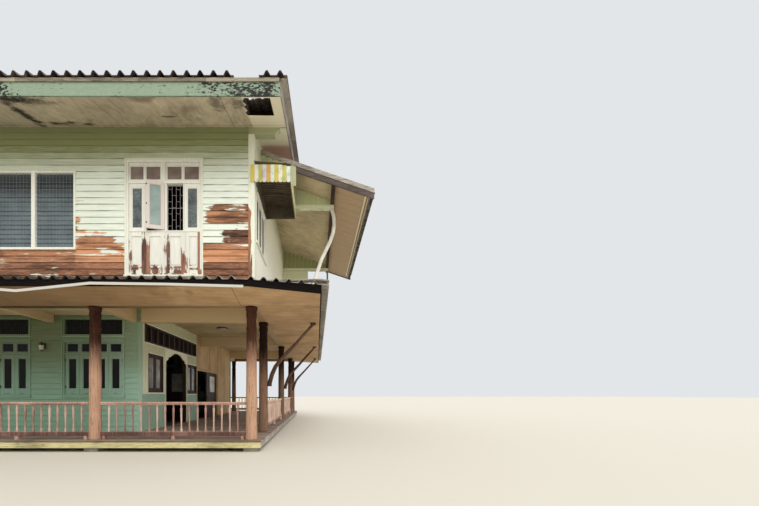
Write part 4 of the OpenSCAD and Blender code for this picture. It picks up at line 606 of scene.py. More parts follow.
# %% Materials on the solids
dress = {
    "footings": stub_concrete, "deck_frame": roof_wood, "rim_boards": rim_wood,
    "veranda_deck": deck_wood, "house_floor": deck_wood_y, "front_posts": post_wood,
    "back_posts": post_wood, "floor_beams": tan_beam, "cross_beams": tan_beam_y,
    "upper_floor": inner_dark, "veranda_ceiling": veranda_sheet, "lower_front_wall": mint_paint,
    "lower_rear_wall": mint_paint, "lower_left_wall": mint_paint_y, "side_wall_corner": cream_paint,
    "side_wall_head": cream_paint, "side_wall_middle": cream_paint, "ply_wall_over_door": plywood,
    "ply_wall_rear": plywood, "arch_casing": side_paint, "door_frame": plywood,
    "near_door_leaf": dark_stain, "far_door_leaf": dark_stain, "front_lower_windows": window_mint,
    "back_lower_windows": window_mint, "side_windows": dark_stain, "upper_front_wall": upper_paint,
    "upper_right_wall": cream_paint, "upper_left_wall": upper_paint_y, "upper_rear_wall": upper_paint,
    "tall_windows": window_white, "open_casements": window_white, "louvred_window": blade_glass_painted_sky,
    "upper_back_windows": blade_glass_painted_sky, "awning": awning_dark, "wall_plates": plate_paint,
    "roof_timbers": roof_wood, "roof_sheets": roof_cement, "roof_caps": cap_cement,
    "roof_soffits": eave_sheet, "fascia_boards": fascia_paint, "verge_boards": silver_wood,
    "side_roof_frame": roof_wood, "side_roof_sheets": side_cement, "side_roof_soffit": side_sheet,
    "side_roof_boards": silver_wood_x, "side_infills": lit_rail_paint, "slender_post": post_steel,
    "rain_pipe": pvc_white, "lower_roof_frame": roof_wood, "lower_roof_sheets": low_cement,
    "lower_soffit": low_eave_sheet, "lower_fascia": rotten_wood, "eave_trim": trim_paint,
    "knee_braces": brace_wood, "front_balustrade": rail_wood, "side_balustrade": rail_wood,
    "rear_balustrade": rail_wood, "lamps": lamp_black}
for name, finish in dress.items():
    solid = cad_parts[name]
    solid.data.materials.clear()
    solid.data.materials.append(finish)
left_plain = set(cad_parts) - set(dress)
print("dressed", len(dress), "left plain", sorted(left_plain))

# %% [markdown]
# ## Lapped boards
# The walls are weatherboards: thin planks nailed from the bottom up, each lapping over the
# one below, so that every course throws a thin line of shadow and the corner shows little
# steps. A bump map would lose both, so each board is a wedge of its own, thick below and
# thin above. A small helper places boards in a wall's own frame: u runs to the right as
# seen from outside, d goes into the wall, and v is the height.

# %% A wall's frame, a board and a finished piece
def wall(angle, x, y):
    """From (u, d, v) on a wall that faces outwards to the place in the scene."""
    return Matrix.Translation((x, y, 0)) @ Matrix.Rotation(math.radians(angle), 4, "Z")


front, rear = wall(0, 0, -0.06), wall(180, 0, 12.06)
right, left = wall(90, 0.06, 0), wall(-90, -10.41, 0)
low_front, low_rear, low_right = wall(0, 0, 1.54), wall(180, 0, 10.46), wall(90, -3.26, 0)
straight = Matrix()  # for boards given in the scene's own x, y and z
bay = 3.45  # from post to post along the front
ridge, slope = 6.0, 0.306  # the ridge's y, and how far the main roof climbs in a metre
uncut = 9.0  # a step for short boards, which then keep their eight corners


def at(x, y, z):
    return Matrix.Translation((x, y, z))


def new_shape():
    """An empty mesh whose points can carry tint, loss and grime_and_shade."""
    shape = bmesh.new()
    for key in ("tint", "loss", "grime_and_shade"):
        shape.verts.layers.float.new(key)
    return shape


def board(shape, place, low, high, lap=None, step=0.3, tint=None, wear=None, level=None):
    """A board between two corners (u, d, v), cut across every step metres. lap is two pairs
    (v, thickness) for a wedge's face. wear(u, v) gives loss and grime_and_shade, read at level if it is
    given."""
    start = len(shape.verts)
    verts = bmesh.ops.create_cube(shape, size=1.0)["verts"]
    hue = dice.random() if tint is None else tint
    size = [high[i] - low[i] for i in range(3)]
    key = shape.verts.layers.float["tint"]
    for vert in verts:
        vert.co = Vector([low[i] + size[i] * (vert.co[i] + 0.5) for i in range(3)])
        vert[key] = hue
        if lap and vert.co.y < (low[1] + high[1]) / 2:
            (v0, t0), (v1, t1) = lap
            vert.co.y = -(t0 + (t1 - t0) * (vert.co.z - v0) / (v1 - v0))
    long = size.index(max(size))
    cuts = min(60, int(size[long] / step))
    if cuts:
        runs = {edge for vert in verts for edge in vert.link_edges
                if abs(edge.verts[0].co[long] - edge.verts[1].co[long]) > 0.9 * size[long]}
        bmesh.ops.subdivide_edges(shape, edges=list(runs), cuts=cuts)
        shape.verts.ensure_lookup_table()
        verts = shape.verts[start:]
    if wear:
        loss, grime_and_shade = shape.verts.layers.float["loss"], shape.verts.layers.float["grime_and_shade"]
        for vert in verts:
            vert[loss], vert[grime_and_shade] = wear(vert.co.x, vert.co.z if level is None else level)
    for vert in verts:
        vert.co = place @ vert.co
    return verts


def finished(shape, name, *finishes, body="house"):
    """Turns a mesh in the making into a piece that rides on a body."""
    # The boards were moved after they were made, so their normals are renewed
    shape.normal_update()
    bmesh.ops.recalc_face_normals(shape, faces=shape.faces)
    mesh = bpy.data.meshes.new(name)
    shape.to_mesh(mesh)
    shape.free()
    piece = bpy.data.objects.new(name, mesh)
    bpy.context.scene.collection.objects.link(piece)
    for finish in finishes:
        mesh.materials.append(finish)
    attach(piece, body)
    print(name, "faces", len(mesh.polygons))
    return piece


def soft(value, start, end, edge=0.12):
    """1 between start and end, falling smoothly to 0 over an edge's width outside them."""
    t = min((value - start) / edge + 1, (end - value) / edge + 1, 1.0)
    return max(t, 0.0) ** 2 * (3 - 2 * max(t, 0.0))


# %% [markdown]
# ## Where the weather got in
# Rain splashes off the lower roof onto the wall above it, so the paint is lost there first,
# board by board, up to a metre above the sheets and worst beside the tall windows. Under
# the eaves it never rains, and there olive mould covers the paint instead. Each zone below
# is a rectangle (u0, u1, v0, v1) on the wall with the share of paint that has gone, or with
# the tone of its bare boards.

# %% Zones of lost paint and of mould
bare_front = [(-0.9, 0.1, 5.02, 5.40, 0.27), (-0.34, 0.1, 4.88, 5.03, 0.20), (-0.62, 0.1, 4.60, 4.79, 0.33),
              (-1.1, 0.1, 3.6, 4.60, 0.40), (-1.1, 0.1, 3.6, 5.5, 0.06), (-3.5, -2.7, 3.6, 4.24, 0.36),
              (-3.95, -3.78, 4.90, 5.10, 0.26), (-3.95, -3.3, 4.74, 4.90, 0.17),
              (-3.85, -2.95, 4.36, 4.74, 0.235), (-3.2, -2.7, 4.24, 4.62, 0.13), (-3.9, -2.7, 5.0, 5.5, 0.05),
              (-10.5, -3.4, 3.6, 4.40, 0.33), (-7.7, -6.9, 4.36, 5.2, 0.20), (-10.5, -9.3, 4.3, 5.0, 0.2)]
bare_tints = [(-1.1, 0.1, 4.15, 4.47, 0.95), (-1.1, 0.1, 3.6, 4.15, 0.12), (-1.1, 0.1, 4.47, 4.60, 0.45),
              (-1.1, 0.1, 4.60, 4.79, 0.0), (-1.1, 0.1, 5.02, 5.20, 0.62), (-1.1, 0.1, 5.20, 5.40, 0.3),
              (-3.5, -2.7, 4.1, 4.24, 0.9), (-7.0, -3.4, 4.1, 4.4, 0.45), (-7.0, -3.4, 3.6, 4.1, 0.2)]


def front_wear(u, v):
    """The upper front wall: its zones, with sound paint between them."""
    zones = [share * soft(u, u0, u1, 0.26) for u0, u1, v0, v1, share in bare_front if v0 <= v < v1]
    return max(zones + [-0.05]), 0.95 * soft(v, 6.9, 9.0, 1.05) + 0.10 * soft(u, -12.0, -3.6, 2.0)


def side_wear(u, v):
    """The other upper walls: splashed low down, mouldy high up."""
    patch = noise.noise(Vector((u * 0.55, 3.1, v * 0.9)))
    return 0.27 * soft(v, 3.0, 3.9, 0.8) + 0.22 * patch - 0.05, 0.6 * soft(v, 6.7, 9.9, 0.9)


def low_wear(u, v):
    """Lower walls: sheltered, with yellow mould above head height, painted shade high up away from the
    right corner, deep under the veranda, and a worn foot.
    """
    patch = noise.noise(Vector((u * 0.5, 7.7, v * 0.8)))
    # deep is painted shade: high on the wall and away from the right corner, deep under the veranda
    deep = 0.2 * soft(-abs(u), -12.0, -5.2, 1.8) * soft(v, 2.2, 4.0, 1.2)
    mould_and_shade = 0.55 * soft(v, 2.5, 4.0, 1.0) + 0.1 * patch + deep
    return 0.10 * soft(v, 0.0, 0.35, 0.3) + 0.10 * patch - 0.02, mould_and_shade


print("zones", len(bare_front), "and", len(bare_tints))


# %% A wall of courses
def holes_cut(low, high, u, holes):
    """The part of a course from low to high that is left at u between the holes."""
    for u0, u1, v0, v1 in holes:
        if u0 < u < u1 and v0 < high and v1 > low:
            low, high = (v1, high) if v0 <= low else (low, v0)
    return low, high


def courses(shape, place, span, rise, holes, wear, tints=()):
    """Lapped boards over a wall from rise[0] to rise[1], cut round its holes (u0, u1, v0, v1)."""
    rows = round((rise[1] - rise[0]) / 0.143)
    step = (rise[1] - rise[0]) / rows
    for row in range(rows):
        v0 = rise[0] + row * step
        v1 = min(v0 + step + 0.01, rise[1])
        # Planks butt at odd places, but not close to an opening
        ends, butt = [span[0]], span[0] + dice.uniform(0.4, 2.6)
        while butt < span[1] - 0.4:
            ends.append(butt)
            butt += dice.uniform(1.6, 3.4)
        near = [hole for hole in holes if hole[2] < v1 and hole[3] > v0]
        butts = {e for e in ends if not any(h[0] - 0.3 < e < h[1] + 0.3 for h in near)}
        ends = sorted(butts | {span[1]} | {e for h in near for e in h[:2] if span[0] < e < span[1]})
        hue, swell = dice.random(), dice.uniform(-0.0015, 0.002)
        for a, b in zip(ends, ends[1:]):
            if a in butts:
                hue, swell = dice.random(), dice.uniform(-0.0015, 0.002)
            middle = (a + b) / 2
            low, high = holes_cut(v0, v1, middle, near)
            if high - low < 0.02 or b - a < 0.01:
                continue
            level = v0 + step / 2
            tone = next((t for u0, u1, w0, w1, t in tints if u0 < middle < u1 and w0 <= level < w1), hue)
            board(shape, place, (a + 0.001, -0.02, low), (b - 0.001, 0.004, high),
                  lap=((v0, 0.026 + swell), (v1, 0.005)), tint=tone, wear=wear, level=level)


# %% Boards of the upper front and rear walls
# Openings are (u0, u1) along a wall and (v0, v1) up it. Each gets a casing of this width
case = 0.024
tall_spans, tall_foot, tall_head = ((-2.73, -1.065), (-9.285, -7.62)), 3.84, 6.37
louvre, louvre_foot, louvre_head = (-6.79, -3.85), 4.425, 6.125
rear_spans = [((i + 0.5) * bay - 0.8, (i + 0.5) * bay + 0.8) for i in range(3)]
gable_foot, gable_head = 4.69, 5.89
front_holes = [(u0 - case, u1 + case, 3.6, tall_head + case) for u0, u1 in tall_spans]
front_holes += [(louvre[0] - case, louvre[1] + case, louvre_foot - 0.02, louvre_head + case)]
rear_holes = [(u0 - case, u1 + case, louvre_foot - 0.02, louvre_head + case) for u0, u1 in rear_spans]
upper_wall = (3.70, 7.097)
shape = new_shape()
courses(shape, front, (-10.41, -0.052), upper_wall, front_holes, front_wear, bare_tints)
finished(shape, "upper_front_boards", upper_paint)
shape = new_shape()
courses(shape, rear, (-0.06, 10.41), upper_wall, rear_holes, side_wear)
finished(shape, "upper_rear_boards", upper_paint)

# %% The left gable
# Full courses are laid up to the ridge, and two sloping planes saw them off under the rafters
shape = new_shape()
left_spans = [(-u - 1.3, -u) for u in (0.15, 10.55)]
gable_holes = [(u0 - case, u1 + case, gable_foot - 0.02, gable_head + case) for u0, u1 in left_spans]
courses(shape, left, (-12.08, 0.08), (upper_wall[0], 8.94), gable_holes, side_wear)
for way in (1, -1):
    everything = shape.verts[:] + shape.edges[:] + shape.faces[:]
    sawn = bmesh.ops.bisect_plane(shape, geom=everything, plane_co=(0, ridge, 8.96),
                                  plane_no=(0, -slope * way, 1.0), clear_outer=True)
    rims = [item for item in sawn["geom_cut"] if isinstance(item, bmesh.types.BMEdge)]
    bmesh.ops.holes_fill(shape, edges=rims, sides=12)
finished(shape, "upper_left_boards", upper_paint_y)

# %% The lower walls
low_spans = [(-5.365, -3.725), (-7.88, -6.24), (-9.8, -8.9)]
side_spans = [(-y - 1.64, -y) for y in (2.6, 7.0)]
low_foot, low_head, vent_foot, vent_head = 1.18, 2.68, 2.80, 3.29
deck_top = 0.24
low_wall = (deck_top, 3.548)


def low_holes(spans):
    """A window hole and a vent hole over it for each span."""
    return [(u0 - case, u1 + case, v0, v1) for u0, u1 in spans
            for v0, v1 in ((low_foot - 0.02, low_head + case), (vent_foot - case, vent_head + case))]


for name, place, span, spans, paint in (
        ("lower_front_boards", low_front, (-10.41, -3.262), low_spans, mint_paint),
        ("lower_rear_boards", low_rear, (3.262, 10.41), [(-b, -a) for a, b in low_spans], mint_paint),
        ("lower_left_boards", left, (-10.46, -1.54), side_spans, mint_paint_y)):
    shape = new_shape()
    courses(shape, place, span, low_wall, low_holes(spans), low_wear)
    finished(shape, name, paint)

# %% [markdown]
# ## Upright boards and casings
# The right wall is boarded upright, with shallow grooves between planed boards, because it
# is sheltered by its own roof. A white corner board covers the ends of both kinds, and a
# thin casing frames each opening, so that the laps die against it.

# %% Upright boards on the right gable
def upright(shape, place, span, low, top, holes, wear, wide=0.15, thick=0.012):
    """Upright boards over a wall from low(u) up to top(u), cut round its holes."""
    count = round((span[1] - span[0]) / wide)
    step = (span[1] - span[0]) / count
    for i in range(count):
        a, b = span[0] + i * step, span[0] + (i + 1) * step
        middle, hue = (a + b) / 2, dice.random()
        pieces = [(low(middle), top(middle))]
        for u0, u1, v0, v1 in holes:
            if u0 < middle < u1:
                pieces = [part for lo, hi in pieces for part in ((lo, min(hi, v0)), (max(lo, v1), hi))
                          if part[1] - part[0] > 0.02]
        for lo, hi in pieces:
            board(shape, place, (a + 0.003, -thick - dice.uniform(0, 0.002), lo), (b - 0.003, 0.004, hi),
                  tint=hue, wear=wear)


def gable_top(u):
    return 7.06 + slope * (ridge - abs(u - ridge))


def right_wear(u, v):
    return 0.06 * soft(v, 3.0, 4.2, 0.6) - 0.03, 0.6 * soft(v, 7.0, 9.0, 0.8) + 0.1 * soft(u, 6.3, 12.0, 1.0)


shape = new_shape()
right_spans = [(-b, -a) for a, b in left_spans]
right_holes = [(u0 - case, u1 + case, gable_foot - 0.02, gable_head + case) for u0, u1 in right_spans]
upright(shape, right, (0.10, 12.04), lambda u: 3.72, gable_top, right_holes, right_wear)
finished(shape, "upper_right_boards", cream_paint)


# %% Casings and corner boards, upstairs
def casing(shape, place, u0, u1, v0, v1, wear, sill=True):
    """Boards round an opening, and a sill that stands out a little more."""
    for lo, hi in (((u0 - case, -0.030, v0), (u0 + 0.006, 0.004, v1 + case)),
                   ((u1 - 0.006, -0.030, v0), (u1 + case, 0.004, v1 + case)),
                   ((u0 + 0.007, -0.028, v1 - 0.006), (u1 - 0.007, 0.004, v1 + case))):
        board(shape, place, lo, hi, wear=wear)
    if sill:
        board(shape, place, (u0 - case - 0.01, -0.052, v0 - 0.032), (u1 + case + 0.01, 0.004, v0 + 0.006),
              wear=wear)


def case_wear(u, v):
    return 0.10 * soft(v, 3.5, 4.3, 0.5) - 0.04, 0.3 * soft(v, 6.1, 9.0, 0.4)


def corner_wear(u, v):
    """The front corner board has lost the paint of its outer edge."""
    return 0.42 * soft(v, 3.0, 4.9, 0.8) * (u < 0) - 0.02, case_wear(u, v)[1]


shape = new_shape()
for place, spans, v0, v1 in ((front, tall_spans, tall_foot, tall_head),
                             (front, [louvre], louvre_foot, louvre_head),
                             (rear, rear_spans, louvre_foot, louvre_head),
                             (right, right_spans, gable_foot, gable_head),
                             (left, left_spans, gable_foot, gable_head)):
    for u0, u1 in spans:
        casing(shape, place, u0, u1, v0, v1, case_wear)
# Corner boards: one on the front, one on its return, and pairs at the other corners
for place, u0, u1, out, top, wear, step in ((front, -0.052, 0.075, 0.028, 6.915, corner_wear, 0.2),
                                            (right, -0.058, 0.115, 0.022, 7.05, case_wear, 0.2),
                                            (right, 12.0, 12.085, 0.022, 7.05, case_wear, 0.3),
                                            (rear, -0.085, 0.05, 0.026, 6.915, case_wear, 0.3),
                                            (rear, 10.35, 10.43, 0.026, 7.09, case_wear, 0.3),
                                            (front, -10.43, -10.35, 0.026, 7.09, case_wear, 0.3)):
    board(shape, place, (u0, -out, upper_wall[0]), (u1, 0.004, top), wear=wear, step=step)
finished(shape, "white_casings", casing_paint)

# %% Casings and corner boards, downstairs
shape = new_shape()
lower_windows = []
for u0, u1 in low_spans:
    lower_windows += [(low_front, u0, u1), (low_rear, -u1, -u0)]
lower_windows += [(left, u0, u1) for u0, u1 in side_spans]
for place, u0, u1 in lower_windows:
    casing(shape, place, u0, u1, low_foot, low_head, low_wear)
    casing(shape, place, u0, u1, vent_foot, vent_head, low_wear, sill=False)
for place, u0, u1, top in ((low_front, -3.34, -3.235, 3.163), (low_front, -10.43, -10.35, 3.54),
                           (low_rear, 3.235, 3.34, 3.54)):
    board(shape, place, (u0, -0.026, low_wall[0]), (u1, 0.004, top), wear=low_wear)
finished(shape, "mint_casings", window_mint)

# %% [markdown]
# ## Windows with leaves
# Every window is joinery: an outer frame, then leaves of two stiles and two rails round a
# pane, with a bead that holds the glass. One function builds a leaf from nine boards, and
# each kind of window is then a short list of leaves. The panes are a separate mesh, so that
# glass and paint keep their own finish. These pieces stand for the plain window solids.

# %% A leaf, an outer frame and a vent
jamb = 0.045  # width of a window frame's members


def sides(u0, u1, v0, v1, wide):
    """The left, right, lower and upper member of a rectangular frame, as pairs of corners."""
    return (((u0, v0), (u0 + wide, v1)), ((u1 - wide, v0), (u1, v1)),
            ((u0 + wide, v0), (u1 - wide, v0 + wide)), ((u0 + wide, v1 - wide), (u1 - wide, v1)))


def leaf(wood, glass, place, u0, u1, v0, v1, stile, foot, head, d=0.035, thick=0.036, wear=None, bead=0.012):
    """Two stiles, two rails, four beads and a pane between the corners (u0, v0) and (u1, v1)."""
    back, tone = d + thick, dice.random()
    a, b, low, high = u0 + stile, u1 - stile, v0 + foot, v1 - head
    board(wood, place, (u0, d, v0), (a, back, v1), tint=tone, wear=wear)
    board(wood, place, (b, d, v0), (u1, back, v1), tint=tone + 0.1, wear=wear)
    for lo, hi in ((v0, low), (high, v1)):
        board(wood, place, (a, d + 0.001, lo), (b, back - 0.001, hi), wear=wear)
    for lo, hi in sides(a, b, low, high, bead):
        board(wood, place, (lo[0], d + 0.008, lo[1]), (hi[0], back - 0.008, hi[1]), step=uncut, wear=wear)
    middle = d + thick / 2
    board(glass, place, (a + 0.002, middle - 0.003, low + 0.002), (b - 0.002, middle + 0.003, high - 0.002),
          step=uncut, tint=dice.random())


def outer_frame(wood, place, u0, u1, v0, v1, wide=jamb, wear=None):
    """Jambs, head and sill through the whole thickness of the wall."""
    near, far, sill, head = sides(u0, u1, v0, v1, wide)
    for lo, hi in (near, far, head, sill):
        board(wood, place, (lo[0], -0.012, lo[1]), (hi[0], 0.118, hi[1]), wear=wear)


def edged(piece, width=0.0025):
    """A small bevel, so that painted edges catch the light."""
    bevel = piece.modifiers.new("eased edges", "BEVEL")
    bevel.width = width
    bevel.segments = 1
    bevel.limit_method = "ANGLE"
    return piece


def vent(wood, dark, place, u0, u1, v0, v1, wear):
    """Upright slats 60 mm apart in a frame, with a black sheet behind them: painted shade for the dark room.
    """
    outer_frame(wood, place, u0, u1, v0, v1, wear=wear)
    board(dark, place, (u0 + 0.04, 0.075, v0 + 0.04), (u1 - 0.04, 0.08, v1 - 0.04), step=uncut)
    clear = u1 - u0 - 2 * jamb
    count = int(clear / 0.06)
    for i in range(1, count + 1):
        middle = u0 + jamb + i * clear / (count + 1)
        board(dark, place, (middle - 0.011, 0.03, v0 + jamb), (middle + 0.011, 0.045, v1 - jamb), step=uncut)


print("a leaf is 9 boards, a frame 4")

# %% [markdown]
# ## Downstairs: mint casements under dark vents
# Each lower window has four narrow leaves under four square lights, and a slatted vent
# above. The stiles are wide for the panes, which are tall dark slits. The leaves carry
# small strap hinges and a hook, which read as dots at this distance but belong there.

# %% Lower windows
mint_wood, mint_glass, slats_and_shade_sheet, small_iron = new_shape(), new_shape(), new_shape(), new_shape()


def lower_window(place, u0, u1, leaves):
    outer_frame(mint_wood, place, u0, u1, low_foot, low_head, wear=low_wear)
    pitch = (u1 - u0 - 2 * jamb) / leaves
    board(mint_wood, place, (u0 + jamb, -0.006, 2.30), (u1 - jamb, 0.10, 2.345), wear=low_wear)
    for i in range(leaves):
        a, b = u0 + jamb + i * pitch, u0 + jamb + i * pitch + pitch
        leaf(mint_wood, mint_glass, place, a + 0.002, b - 0.002, 2.346, 2.634, 0.042, 0.03, 0.03,
             wear=low_wear, d=0.025)
        leaf(mint_wood, mint_glass, place, a + 0.002, b - 0.002, 1.226, 2.299, 0.086, 0.16, 0.10,
             wear=low_wear, d=0.018)
        hinge = a + 0.004 if i % 2 == 0 else b - 0.026
        for v in (1.40, 2.12):
            board(small_iron, place, (hinge, 0.012, v), (hinge + 0.022, 0.02, v + 0.075), step=uncut)
        middle = a + pitch / 2
        board(small_iron, place, (middle - 0.035, 0.006, 1.262), (middle + 0.035, 0.018, 1.27), step=uncut)
    vent(mint_wood, slats_and_shade_sheet, place, u0, u1, vent_foot, vent_head, low_wear)


for (u0, u1), leaves in zip(low_spans, (4, 4, 2)):
    lower_window(low_front, u0, u1, leaves)
    lower_window(low_rear, -u1, -u0, leaves)
for u0, u1 in side_spans:
    lower_window(left, u0, u1, 4)
lower_joinery = edged(finished(mint_wood, "mint_window_joinery", window_mint))
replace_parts(lower_joinery, "front_lower_windows", "back_lower_windows")
finished(mint_glass, "lower_window_panes", dark_glass)

# %% [markdown]
# ## Windows beside the arch
# These two are stained dark brown and hold pale dusty glass, and a long vent runs over
# both and over the arch between them. They are built from the same leaf.

# %% Side windows and the long vent
brown_wood, pale_panes = new_shape(), new_shape()
arch_windows = ((1.88, 2.77, 1.29, 2.39), (4.58, 5.51, 1.25, 2.33))
for u0, u1, v0, v1 in arch_windows:
    outer_frame(brown_wood, low_right, u0, u1, v0, v1)
    half = (u1 - u0 - 2 * jamb) / 2
    for a in (u0 + jamb, u0 + jamb + half):
        leaf(brown_wood, pale_panes, low_right, a + 0.002, a + half - 0.002, v0 + 0.046, v1 - 0.046,
             0.062, 0.075, 0.062, d=0.02)
outer_frame(brown_wood, low_right, 1.68, 5.49, 2.68, 3.18)
# A black sheet behind the slats: painted shade for the dark room
board(slats_and_shade_sheet, low_right, (1.72, 0.075, 2.72), (5.45, 0.08, 3.14), step=uncut)
for i in range(1, 10):
    u = 1.725 + i * 3.72 / 10
    board(brown_wood, low_right, (u - 0.035, 0.01, 2.725), (u + 0.035, 0.05, 3.135))
    for k in (0.12, 0.24):
        board(slats_and_shade_sheet, low_right, (u + k - 0.006, 0.03, 2.725), (u + k + 0.006, 0.045, 3.135), step=uncut)
side_joinery = edged(finished(brown_wood, "brown_window_joinery", dark_stain))
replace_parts(side_joinery, "side_windows")
finished(pale_panes, "pale_side_panes", hazy_glass)
finished(slats_and_shade_sheet, "vent_slats", slat_and_shade_black)

# %% [markdown]
# ## Upstairs: the tall windows
# A tall window is a pair of doors cut down to a window: solid panels at the foot, four
# glazed leaves over them and four square lights on top. The second leaf stands ajar and the
# third is gone, so bars show against the dark room. The panels were painted white last,
# and their lower ends have lost most of it.

# %% Tall windows
white_wood, white_panes, brown_panes, bars = new_shape(), new_shape(), new_shape(), new_shape()


def panel_wear(u, v):
    """White enamel, worn through at the very foot."""
    return 0.26 * soft(v, 3.0, 3.98, 0.3) - 0.02, 0.3 * soft(v, 6.2, 9.0, 0.3)


def stile_wear(u, v):
    """The stiles between the panels have lost paint in long strips, more towards the foot."""
    patch = noise.noise(Vector((u * 7.0, 1.3, v * 1.2)))
    return 0.16 + 0.14 * patch + 0.12 * soft(v, 3.0, 4.2, 0.4), 0.1


def tall_window(place, u0, u1):
    outer_frame(white_wood, place, u0, u1, tall_foot, tall_head, wide=0.05, wear=panel_wear)
    # Two rails right across, and a thick post between the pairs of square lights
    for a, b, out, back, v0, v1 in ((0.05, u1 - u0 - 0.05, -0.004, 0.10, 4.80, 4.83),
                                    (0.05, u1 - u0 - 0.05, -0.004, 0.10, 5.86, 5.92),
                                    (0.767, 0.858, -0.010, 0.10, 5.92, 6.32),
                                    (0.798, 0.827, -0.022, 0.0, 5.90, 6.33)):
        board(white_wood, place, (u0 + a, out, v0), (u0 + b, back, v1), wear=panel_wear)
    for a, b in ((0.052, 0.395), (0.397, 0.765), (0.860, 1.231), (1.233, 1.613)):
        leaf(white_wood, brown_panes, place, u0 + a, u0 + b, 5.922, 6.319, 0.022, 0.028, 0.069,
             wear=panel_wear, d=0.012, bead=0.01)
    # Two glazed leaves, and posts beside the opening of the third
    for a, b in ((0.052, 0.40), (1.267, 1.613)):
        leaf(white_wood, white_panes, place, u0 + a, u0 + b, 4.832, 5.858, 0.062, 0.06, 0.085,
             wear=panel_wear, d=0.012)
    for a, b in ((0.402, 0.437), (0.842, 0.885), (1.240, 1.265)):
        board(white_wood, place, (u0 + a, 0.006, 4.832), (u0 + b, 0.07, 5.858), wear=panel_wear)
    # Panels at the foot: wide worn stiles, three rails and raised fields with sunk borders
    for a, b, f0, f1 in ((0.05, 0.418, 0.112, 0.330), (0.418, 0.848, 0.505, 0.752),
                         (0.848, 1.288, 0.945, 1.192), (1.288, 1.615, 1.378, 1.558)):
        a, b, f0, f1 = u0 + a + 0.001, u0 + b - 0.001, u0 + f0, u0 + f1
        for lo, hi in ((a, f0), (f1, b)):
            board(white_wood, place, (lo, 0.004, 3.895), (hi, 0.040, 4.798), wear=stile_wear, step=0.1)
        for low, high, out in ((3.895, 3.965, 0.005), (4.012, 4.050, 0.008), (4.70, 4.798, 0.005)):
            board(white_wood, place, (f0, out, low), (f1, 0.039, high), wear=panel_wear, step=0.06)
        board(white_wood, place, (f0, 0.022, 3.965), (f1, 0.036, 4.70), wear=panel_wear, step=0.1)
        board(white_wood, place, (f0 + 0.026, 0.012, 4.08), (f1 - 0.026, 0.030, 4.67), wear=panel_wear,
              step=0.1)
    # Bars of the third opening: thin uprights, and short ties that step up and down between them
    gap, pitch = u0 + 0.885, 0.0887
    for k in range(1, 4):
        u = gap + k * pitch
        board(bars, place, (u - 0.003, 0.072, 4.83), (u + 0.003, 0.079, 5.86), step=uncut)
    for row in range(7):
        for k in (row % 2, row % 2 + 2):
            u, v = gap + k * pitch, 4.96 + row * 0.135
            board(bars, place, (u, 0.0725, v), (u + pitch, 0.0785, v + 0.005), step=uncut)
    for v in (4.84, 5.35, 5.84):
        board(bars, place, (gap, 0.071, v), (gap + 4 * pitch, 0.080, v + 0.006), step=uncut)


# The left window is the mirror image of the right one
tall_window(front, *tall_spans[0])
tall_window(front @ Matrix.Diagonal((-1, 1, 1, 1)), 7.62, 9.285)
tall_joinery = edged(finished(white_wood, "tall_window_joinery", window_white))
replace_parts(tall_joinery, "tall_windows")
finished(white_panes, "tall_window_figured_panes", curl_glass)
finished(brown_panes, "tall_window_lights", brown_glass)

# %% The casements that stand ajar
ajar_wood, ajar_panes = new_shape(), new_shape()
for hinge, way in ((-1.8975, 1), (-8.4525, -1)):
    swing = Matrix.Translation((hinge, -0.0203, 0)) @ Matrix.Rotation(math.radians(15 * way), 4, "Z")
    a, b = (-0.383, -0.003) if way == 1 else (0.003, 0.383)
    leaf(ajar_wood, ajar_panes, swing, a, b, 4.846, 5.893, 0.072, 0.075, 0.075, d=-0.039, thick=0.038,
         wear=lambda u, v: (0.02, 0.0))
    u = a + 0.004 if way == 1 else b - 0.028
    for v in (4.95, 5.36, 5.78):
        board(small_iron, swing, (u, -0.044, v), (u + 0.024, -0.038, v + 0.03), step=uncut)
ajar_leaves = edged(finished(ajar_wood, "ajar_casements", pink_primer))
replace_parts(ajar_leaves, "open_casements")
finished(ajar_panes, "ajar_casement_panes", frost_glass)

# %% [markdown]
# ## Louvred glass
# The wide window is a rack of glass blades, each leaning in at the top and lapping the one
# below, behind a fine square mesh of wire. The blades are what gives the window its
# stripes, so each is a thin plate of its own, turned about its long edge.

# %% Louvres, upstairs
blades, rack, mesh_wire, gable_panes = new_shape(), new_shape(), new_shape(), new_shape()


def louvred(place, u0, u1, v0, v1, posts, wire):
    """Blades 100 mm apart between posts, with a mesh of 75 mm in front of them if wire is set."""
    outer_frame(rack, place, u0, u1, v0, v1, wide=0.035)
    for post in posts:
        board(rack, place, (post - 0.042, -0.014, v0 + 0.036), (post + 0.042, 0.10, v1 - 0.036))
    ends = [u0 - 0.008] + posts + [u1 + 0.008]
    count, mesh = int((v1 - v0 - 0.07) / 0.1), 0.075
    for a, b in zip(ends, ends[1:]):
        a, b = a + 0.043, b - 0.043
        for k in range(count):
            v = v0 + 0.04 + k * (v1 - v0 - 0.08) / count
            lean = place @ at(0, 0.035, v) @ Matrix.Rotation(math.radians(-9), 4, "X")
            # Blades high in the rack get the eaves' painted shade through grime_and_shade
            high = (v - v0) / (v1 - v0)
            board(blades, lean, (a, 0, 0), (b, 0.005, 0.117), step=uncut, tint=dice.random(),
                  wear=lambda u, w, g=high: (0.0, 0.75 * soft(g, 0.8, 2.0, 0.2)))
        if wire:
            for k in range(1, int((b - a) / mesh)):
                u = a + k * mesh
                board(mesh_wire, place, (u - 0.0018, 0.012, v0 + 0.036), (u + 0.0018, 0.0156, v1 - 0.036),
                      step=uncut)
            for k in range(1, int((v1 - v0) / mesh)):
                v = v0 + 0.03 + k * mesh
                board(mesh_wire, place, (a, 0.009, v), (b, 0.0118, v + 0.0028), step=uncut)


